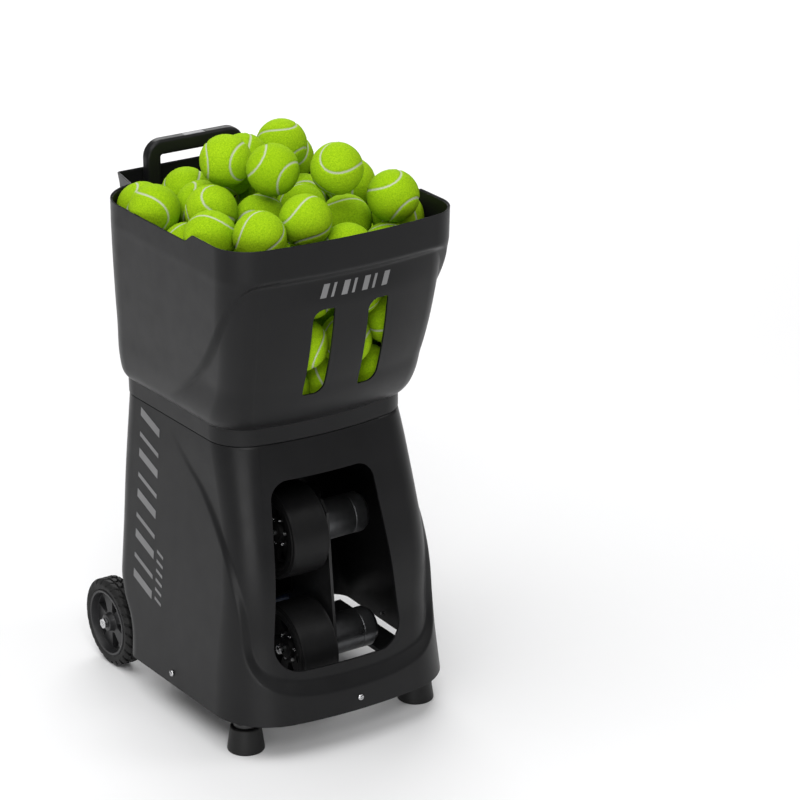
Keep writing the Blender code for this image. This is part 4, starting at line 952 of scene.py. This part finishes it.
# ---------------------------------------------------------------- launching head
def build_throwing_wheel(label):
    """Rubber tread with a slight crown, a hub with openings, its bolts and nut, and its motor."""
    body = label + "_wheel"
    centre = node_box(body + "_tread")[2]
    half, outer, hub = THROW_WIDTH / 2, THROW_RADIUS, THROW_HUB_RADIUS
    side = [(hub, half - 0.0006), (hub + 0.0006, half), (outer - 0.0042, half)]
    side += [(outer - 0.0030 + 0.0030 * sin(a), half - 0.0024 + 0.0012 * cos(a))
             for a in np.linspace(0, pi / 2, 7)]
    crown = [(outer - 0.0006 * share * share, half * share) for share in np.linspace(-0.88, 0.88, 15)]
    profile = [(radius, -x) for radius, x in side] + crown + side[::-1]
    tread = turned(label + "_tyre", profile, centre, "X", 128, closed=True)
    piece(tread, body, "tread_rubber", body + "_tread")
    rim, outside, web = hub - GAP, -half + 0.001, -half + 0.014
    profile = [(rim, half - 0.001), (rim, outside), (rim - 0.0012, outside - 0.0004),
               (rim - 0.0036, outside), (rim - 0.0042, outside + 0.0016), (rim - 0.0046, web),
               (0.0150, web + 0.001),
               (0.0140, web - 0.0042), (0.0128, web - 0.0048), (0.0045, web - 0.0048),
               (0.0045, half - 0.004), (0.0130, half - 0.004), (0.0150, web + 0.008),
               (rim - 0.0046, web + 0.006), (rim - 0.0042, half - 0.0014)]
    disc = turned(label + "_hub_disc", profile, centre, "X", 96, closed=True)
    turns = [360 * i / HUB_OPENINGS for i in range(HUB_OPENINGS)]
    middle = (centre.x + web, centre.y, centre.z)
    boolean(disc, [wedge(middle, 18 + turn, (0.0215, 0.0405), 34, 0.010) for turn in turns])
    piece(disc, body, "inner_plastic", body + "_hub", angle=35)
    head = [(0.0028, -0.001), (0.0028, 0.0016), (0.0014, 0.0024), (0.0012, 0.0012), (0.0, 0.0012)]
    head = rounded(head, 0.0006, 3)
    bolts = []
    for angle in [radians(48 + turn) for turn in turns]:
        place = (middle[0] + 0.0006, centre.y + 0.0180 * cos(angle), centre.z + 0.0180 * sin(angle))
        bolts.append(turned("hub_bolt", head, place, "-X", 24))
    piece(joined(label + "_hub_bolts", bolts), body, "bright_steel")
    hex_nut(label + "_shaft_nut", body + "_nut", "-X", body)
    build_motor(label + "_motor_can", label + "_throw_motor", "tilt_head", "X")


def build_motor(name, node, body, axis):
    """A motor: a drawn can with a step near its far end, a raised rear bearing and its shaft.

    The can's length is read off the CAD node, from the points as far out as its wall. Motors along X have
    their shaft at the low end and motors along Z at the high end.
    """
    low, high, origin = node_box(node)
    index = "XYZ".index(axis)
    u, v = (i for i in range(3) if i != index)
    radius = (high[u] - low[u]) / 2
    points = np.array([vertex.co for vertex in frame["nodes"][node].data.vertices])
    span = np.hypot(points[:, u] - origin[u], points[:, v] - origin[v])
    along = points[:, index]
    wall = along[span > radius * 0.97]
    start, end = wall.min(), wall.max()
    slim = span[(along < start - 0.001) | (along > end + 0.001)]
    origin[index] = 0.0
    if axis == "X":
        face, sign, near, far = start, 1, low[index], high[index]
    else:
        face, sign, near, far = end, -1, high[index], low[index]
    length = end - start
    tail = max(abs(far - face), length)
    can = [(0.0, 0.0), (radius * 0.36, 0.0), (radius * 0.38, 0.0), (radius * 0.93, 0.0), (radius, 0.0018),
           (radius, length * 0.70), (radius * 0.985, length * 0.705), (radius * 0.985, length * 0.735),
           (radius, length * 0.74), (radius, length - 0.0006), (radius * 0.97, length),
           (radius * 0.84, tail - 0.0004), (radius * 0.40, tail - 0.0002),
           (radius * 0.36, tail - 0.0016), (0.0, tail - 0.0016)]
    can = [(r, face + sign * h) for r, h in rounded(can, 0.0006, 3)]
    parts = [turned(name, can, origin, axis, 72)]
    if abs(near - face) > 0.002 and len(slim):
        shaft = max(min(float(slim.max()), 0.006), 0.002)
        rod = [(0.0, near), (shaft * 0.85, near), (shaft, near + sign * 0.0006), (shaft, face)]
        parts.append(turned("shaft", rod, origin, axis, 32))
    motor = joined(name, parts)
    tidy_normals(motor)
    piece(motor, body, "motor", node, angle=30)


# ---------------------------------------------------------------- handle
def build_grip():
    """A thick U: a rounded-rectangle section carried up one leg, round both corners and down the other."""
    top = HANDLE_TOP_Z - HANDLE_BAR / 2
    radius = HANDLE_CORNER - HANDLE_BAR / 2
    x, low = HANDLE_TUBE_X, top - radius
    turns = [(pi / 2) * step / 24 for step in range(1, 24)]
    path = [(-x, z, 0.0) for z in np.linspace(GRIP_BOTTOM_Z, low, 12)]
    path += [(-x + radius + radius * cos(pi - turn), low + radius * sin(pi - turn), turn) for turn in turns]
    path += [(s, top, pi / 2) for s in np.linspace(-x + radius, x - radius, 40)]
    path += [(x - radius + radius * cos(pi / 2 - turn), low + radius * sin(pi / 2 - turn), pi / 2 + turn)
             for turn in turns]
    path += [(x, z, pi) for z in np.linspace(low, GRIP_BOTTOM_Z, 12)]
    bar, depth = HANDLE_BAR / 2, HANDLE_DEPTH / 2
    shape = plate_outline(-bar, bar, -depth, depth, HANDLE_ROUNDING, 8)
    rows = []
    for px, pz, heading in path:
        out_x, out_z = -cos(heading), sin(heading)
        rows.append([(px + u * out_x, HANDLE_Y + v, pz + u * out_z) for u, v in shape])
    grip = grid_object("grip_bar", rows, cap=True)
    tidy_normals(grip)
    pocket_x, pocket_y = BUTTON_POCKET
    boolean(grip, [box("pocket", (-pocket_x, HANDLE_Y - pocket_y, HANDLE_TOP_Z - 0.010),
                       (pocket_x, HANDLE_Y + pocket_y, 0.74))])
    piece(grip, "trolley_handle", "handle_plastic", "handle_grip", angle=40)


# ---------------------------------------------------------------- printed marks
def patch(name, surface, corners, across=6, along=10):
    """A thin printed shape: a four-cornered patch laid on a surface that gives a point for (u, v)."""
    a, b, c, d = np.array(corners)
    rows = []
    for i in range(along + 1):
        s = i / along
        left, right = a + (d - a) * s, b + (c - b) * s
        rows.append([surface(*(left + (right - left) * j / across)) for j in range(across + 1)])
    return grid_object(name, rows, close_loop=False)


def side_surface(side):
    """A function that gives the point on one side of the base for (y, z)."""
    start = FRONT_POINTS + CORNER_POINTS

    def point(y, z):
        loop = base_row(z)
        right = loop[start:start + SIDE_POINTS]
        x = float(np.interp(y, right[:, 1], right[:, 0]))
        return (side * (x + INK), y, z)

    return point


def front_surface(x, z):
    loop = hopper_row(z)
    front_part = loop[:FRONT_POINTS]
    y = float(np.interp(x, front_part[:, 0], front_part[:, 1]))
    return (x, y - INK, z)


def slanted_bars(surface, places, size, lean, upright, across, along):
    """Bars with their low corner at each place, of each size, that lean upwards or sideways."""
    bars = []
    for (u, v), (wide, high) in zip(places, size):
        if upright:
            corners = ((u, v), (u + wide, v), (u + wide + lean, v + high), (u + lean, v + high))
        else:
            corners = ((u, v), (u, v + high), (u + wide, v + high + lean), (u + wide, v + lean))
        bars.append(patch("bar", surface, corners, across, along))
    return bars


def build_marks():
    """Plain slanted bars: a ladder up each side of the base and a short row over the slots."""
    for label, side in SIDES:
        surface = side_surface(side)
        big = [(0.034, 0.148 + i * 0.0283) for i in range(9)]
        bars = slanted_bars(surface, big, [(0.048, 0.0062 if i % 2 else 0.0115) for i in range(9)],
                            0.016, False, 3, 14)
        small = [(0.010, 0.146 + i * 0.0132) for i in range(6)]
        bars += slanted_bars(surface, small, [(0.016, 0.0042)] * 6, 0.0054, False, 3, 8)
        piece(joined("side_stripes_" + label, bars), "machine", "shell", paint="mark")
    row = [(-0.0475 + i * 0.0150, 0.6205) for i in range(7)]
    bars = slanted_bars(front_surface, row, [(0.0040 if i % 2 else 0.0085, 0.018) for i in range(7)],
                        0.006, True, 4, 6)
    piece(joined("front_stripes", bars), "machine", "hopper", paint="mark")


# ---------------------------------------------------------------- balls, set out like the rest of the stage
SHOWN_BALLS = millimetres(
    (-133.7, 47.9, 680.6), (-52.7, 4.4, 743.9), (-30.8, -74.1, 748.6), (36.8, -117.3, 749.7),
    (98.2, -151.7, 712.1), (-31.3, -151.3, 703.1), (-96.8, -149.2, 693), (-98.6, -35.1, 695.9),
    (-134.4, -93.6, 684.6), (17.1, -172.1, 662.3), (86.9, -158, 646.8), (75, -77.8, 664),
    (-36.9, -52.7, 678), (44.1, -18.9, 667.5), (-67.5, 43.5, 675.3), (-50.5, 109.9, 672.6),
    (12.9, 105.6, 692.4), (51.1, 96.4, 638.6), (81.4, 35.8, 660.2), (128.7, -4.4, 684.7),
    (62.8, 57.2, 732.4), (99.6, 99.8, 696.9), (-2.4, 44.6, 726.8), (-116.4, -2.5, 640.6),
    (-116.6, 110, 664.3), (131.1, -113.4, 668.7),
)
LOWEST_BALL_Z = 0.475
HEAP_TOP_Z = 0.660
HEAP_LAYERS = 5
HOPPER_REAR_Y = 0.148
SEAM_EDGE = (0.0009, 0.0016)
SEAM_SHOULDER = (0.0012, 0.0030)
SEAM_DEPTH = 0.0009
FUZZ = 0.00012
SLOT_BALLS = millimetres(
    (8.5, -133, 475), (-41.9, -156.7, 543.2), (-29.9, -155, 608.9), (38.5, -157.2, 601),
    (76.4, -130.5, 475), (24.5, -154.4, 536), (93, -150, 550), (-57.9, -136, 480.1),
)


def seam_points(count=400):
    """Points along a tennis ball's seam, on a ball of radius 1."""
    t = np.linspace(0, 2 * pi, count, endpoint=False)
    a, b = 0.72, 0.28
    c = 2 * sqrt(a * b)
    x, y = a * np.cos(t) + b * np.cos(3 * t), a * np.sin(t) - b * np.sin(3 * t)
    points = np.stack((x, y, c * np.sin(2 * t)), -1)
    return points / np.linalg.norm(points, axis=1, keepdims=True)


def ball_mesh():
    """A felted ball: the nap ends in a shallow step along the seam."""
    bm = bmesh.new()
    bmesh.ops.create_icosphere(bm, subdivisions=6, radius=1.0)
    mesh = mesh_from_bm(bm, "ball")
    co = np.zeros(len(mesh.vertices) * 3)
    mesh.vertices.foreach_get("co", co)
    co = co.reshape(-1, 3)
    seam = seam_points()
    nearest = np.concatenate([(part @ seam.T).max(1) for part in np.array_split(co, len(co) // 4000 + 1)])
    distance = np.arccos(np.clip(nearest, -1, 1)) * BALL_RADIUS
    amount = 1 - smooth(distance, *SEAM_EDGE)
    generator = np.random.default_rng(7)
    fuzz = generator.normal(0, FUZZ, len(co)) * (1 - amount)
    radius = BALL_RADIUS - SEAM_DEPTH * (1 - smooth(distance, *SEAM_SHOULDER)) + fuzz
    co = co * radius[:, None]
    mesh.vertices.foreach_set("co", co.astype(np.float32).ravel())
    mark = mesh.attributes.new("seam", "FLOAT", "POINT")
    mark.data.foreach_set("value", amount.astype(np.float32))
    mesh.shade_smooth()
    mesh.materials.append(PAINTS["felt"])
    return mesh


def inside_hopper(x, y, z):
    """Whether a ball centred there clears the hopper's walls and the carousel."""
    width, front, radius, bow = (float(read_table(HOPPER_PROFILE, z, c)) for c in (1, 2, 4, 6))
    room = BALL_RADIUS + WALL + 0.001
    if abs(x) > width - room or y > HOPPER_REAR_Y - room or y < front - bow * 0.7 + 0.005 + room:
        return False
    corner_x, corner_y = width - radius, front + radius
    if abs(x) > corner_x and y < corner_y:
        return (abs(x) - corner_x) ** 2 + (y - corner_y) ** 2 < (radius - room) ** 2
    return True


def heap_centres():
    """The balls that show on top, then close-packed layers under them."""
    centres = [Vector(c) for c in SHOWN_BALLS + SLOT_BALLS]
    pitch = 2 * BALL_RADIUS + 0.0004
    for layer in range(HEAP_LAYERS):
        z = HEAP_TOP_Z - layer * pitch * 0.72
        shift = (layer % 3) * pitch / 3
        for row in range(-5, 6):
            y = row * pitch * 0.866 + shift - 0.012
            for column in range(-4, 5):
                x = (column + 0.5 * (row % 2)) * pitch + shift * 0.5 + 0.006
                spot = Vector((x, y, z))
                clear = all((spot - other).length > 2 * BALL_RADIUS - 0.002 for other in centres)
                if clear and z >= LOWEST_BALL_Z and inside_hopper(x, y, z):
                    centres.append(spot)
    return centres


def build_balls():
    """Staged balls that share one mesh, each turned its own way."""
    mesh = ball_mesh()
    generator = np.random.default_rng(21)
    for index, centre in enumerate(heap_centres()):
        ball = link_object(f"ball_{index:02d}", mesh)
        quaternion = generator.normal(0, 1, 4)
        quaternion /= np.linalg.norm(quaternion)
        ball.rotation_mode = "QUATERNION"
        ball.rotation_quaternion = quaternion.tolist()
        ball.location = centre


# ---------------------------------------------------------------- stage
LIGHTS = {  # where it is, what it points at, its size and its power
    "overhead_light": ((-1.1, -0.2, 3.4), (-0.2, -0.1, 0.0), (3.4, 3.4), 98),
    "back_light": ((2.4, 3.8, 3.2), (1.9, 2.9, 0.0), (4.0, 2.6), 150),
    "low_front_light": ((-3.1, -3.4, 0.60), (0, 0, 0.3), (2.8, 1.1), 52),
    "high_front_light": ((-1.9, -3.6, 3.6), (0, 0, 0.6), (1.8, 1.4), 70),
    "right_light": ((2.8, -1.9, 3.0), (0, 0, 0.4), (1.6, 1.4), 26),
}
CAMERA_PLACE = (-2.06215, -3.41602, 1.98772)
CAMERA_YAW = 33.6264
CAMERA_PITCH = 21.6267
CAMERA_LENS = 146.99
SENSOR_WIDTH = 36.0
WORLD_STRENGTH = 0.20
FLOOR_SIZE = 14.0


def area_light(name, location, target, size, power):
    light = bpy.data.lights.new(name, "AREA")
    light.shape = "RECTANGLE"
    light.size, light.size_y = size
    light.energy = power
    obj = link_object(name, light)
    obj.location = location
    obj.rotation_euler = (Vector(target) - Vector(location)).to_track_quat("-Z", "Y").to_euler()
    obj.visible_camera = False


def build_stage():
    """The pale floor, the soft lights and the camera."""
    floor = grid_object("floor", [[(x, y, 0) for x in (-FLOOR_SIZE, FLOOR_SIZE)]
                                  for y in (-FLOOR_SIZE, FLOOR_SIZE)], close_loop=False)
    floor.data.materials.append(floor_paint("floor_paint"))
    for name, values in LIGHTS.items():
        area_light(name, *values)
    world = bpy.data.worlds.new("world")
    bpy.context.scene.world = world
    world.use_nodes = True
    background = world.node_tree.nodes["Background"]
    background.inputs["Color"].default_value = (1.0, 1.0, 1.0, 1.0)
    background.inputs["Strength"].default_value = WORLD_STRENGTH
    camera = bpy.data.cameras.new("camera")
    camera.lens = CAMERA_LENS
    camera.sensor_width = SENSOR_WIDTH
    obj = link_object("camera", camera)
    obj.location = CAMERA_PLACE
    obj.rotation_euler = (radians(90 - CAMERA_PITCH), 0, -radians(CAMERA_YAW))
    bpy.context.scene.camera = obj
    bpy.context.scene.view_settings.view_transform = "Standard"


def paint_cad_nodes():
    """CAD nodes that stay get the procedural material of their slot."""
    slots = {s["node"]: s["material_slot"] for s in frame["record"]["subparts"]}
    for name, obj in frame["nodes"].items():
        obj.data.materials.clear()
        obj.data.materials.append(PAINTS[slots[name]])


def build():
    build_stage()
    paint_cad_nodes()
    build_hopper()
    build_base()
    build_door()
    build_door_latch()
    build_panel_details()
    for label, side in SIDES:
        axis = "X" if side > 0 else "-X"
        build_tyre(label)
        build_rim(label, axis)
        build_foot(label)
        hex_nut("axle_end_" + label, "axle_nut_" + label, axis, "machine")
        low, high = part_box("side_screw_" + label)
        tip = high.x - SCREW_HEAD_HEIGHT if side > 0 else low.x + SCREW_HEAD_HEIGHT
        build_screw("side_screw_head_" + label, "side_screw_" + label, axis, (tip, SIDE_SCREW_Y, SCREW_Z))
    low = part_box("front_screw")[0]
    build_screw("front_screw_head", "front_screw", "-Y", (0.0, low.y + SCREW_HEAD_HEIGHT, SCREW_Z))
    build_throwing_wheel("upper")
    build_throwing_wheel("lower")
    build_motor("feed_motor_can", "feed_motor", "machine", "Z")
    build_motor("pan_motor_can", "pan_motor", "machine", "Z")
    build_motor("tilt_motor_can", "tilt_motor", "pan_head", "X")
    build_grip()
    build_marks()
    build_balls()


build()
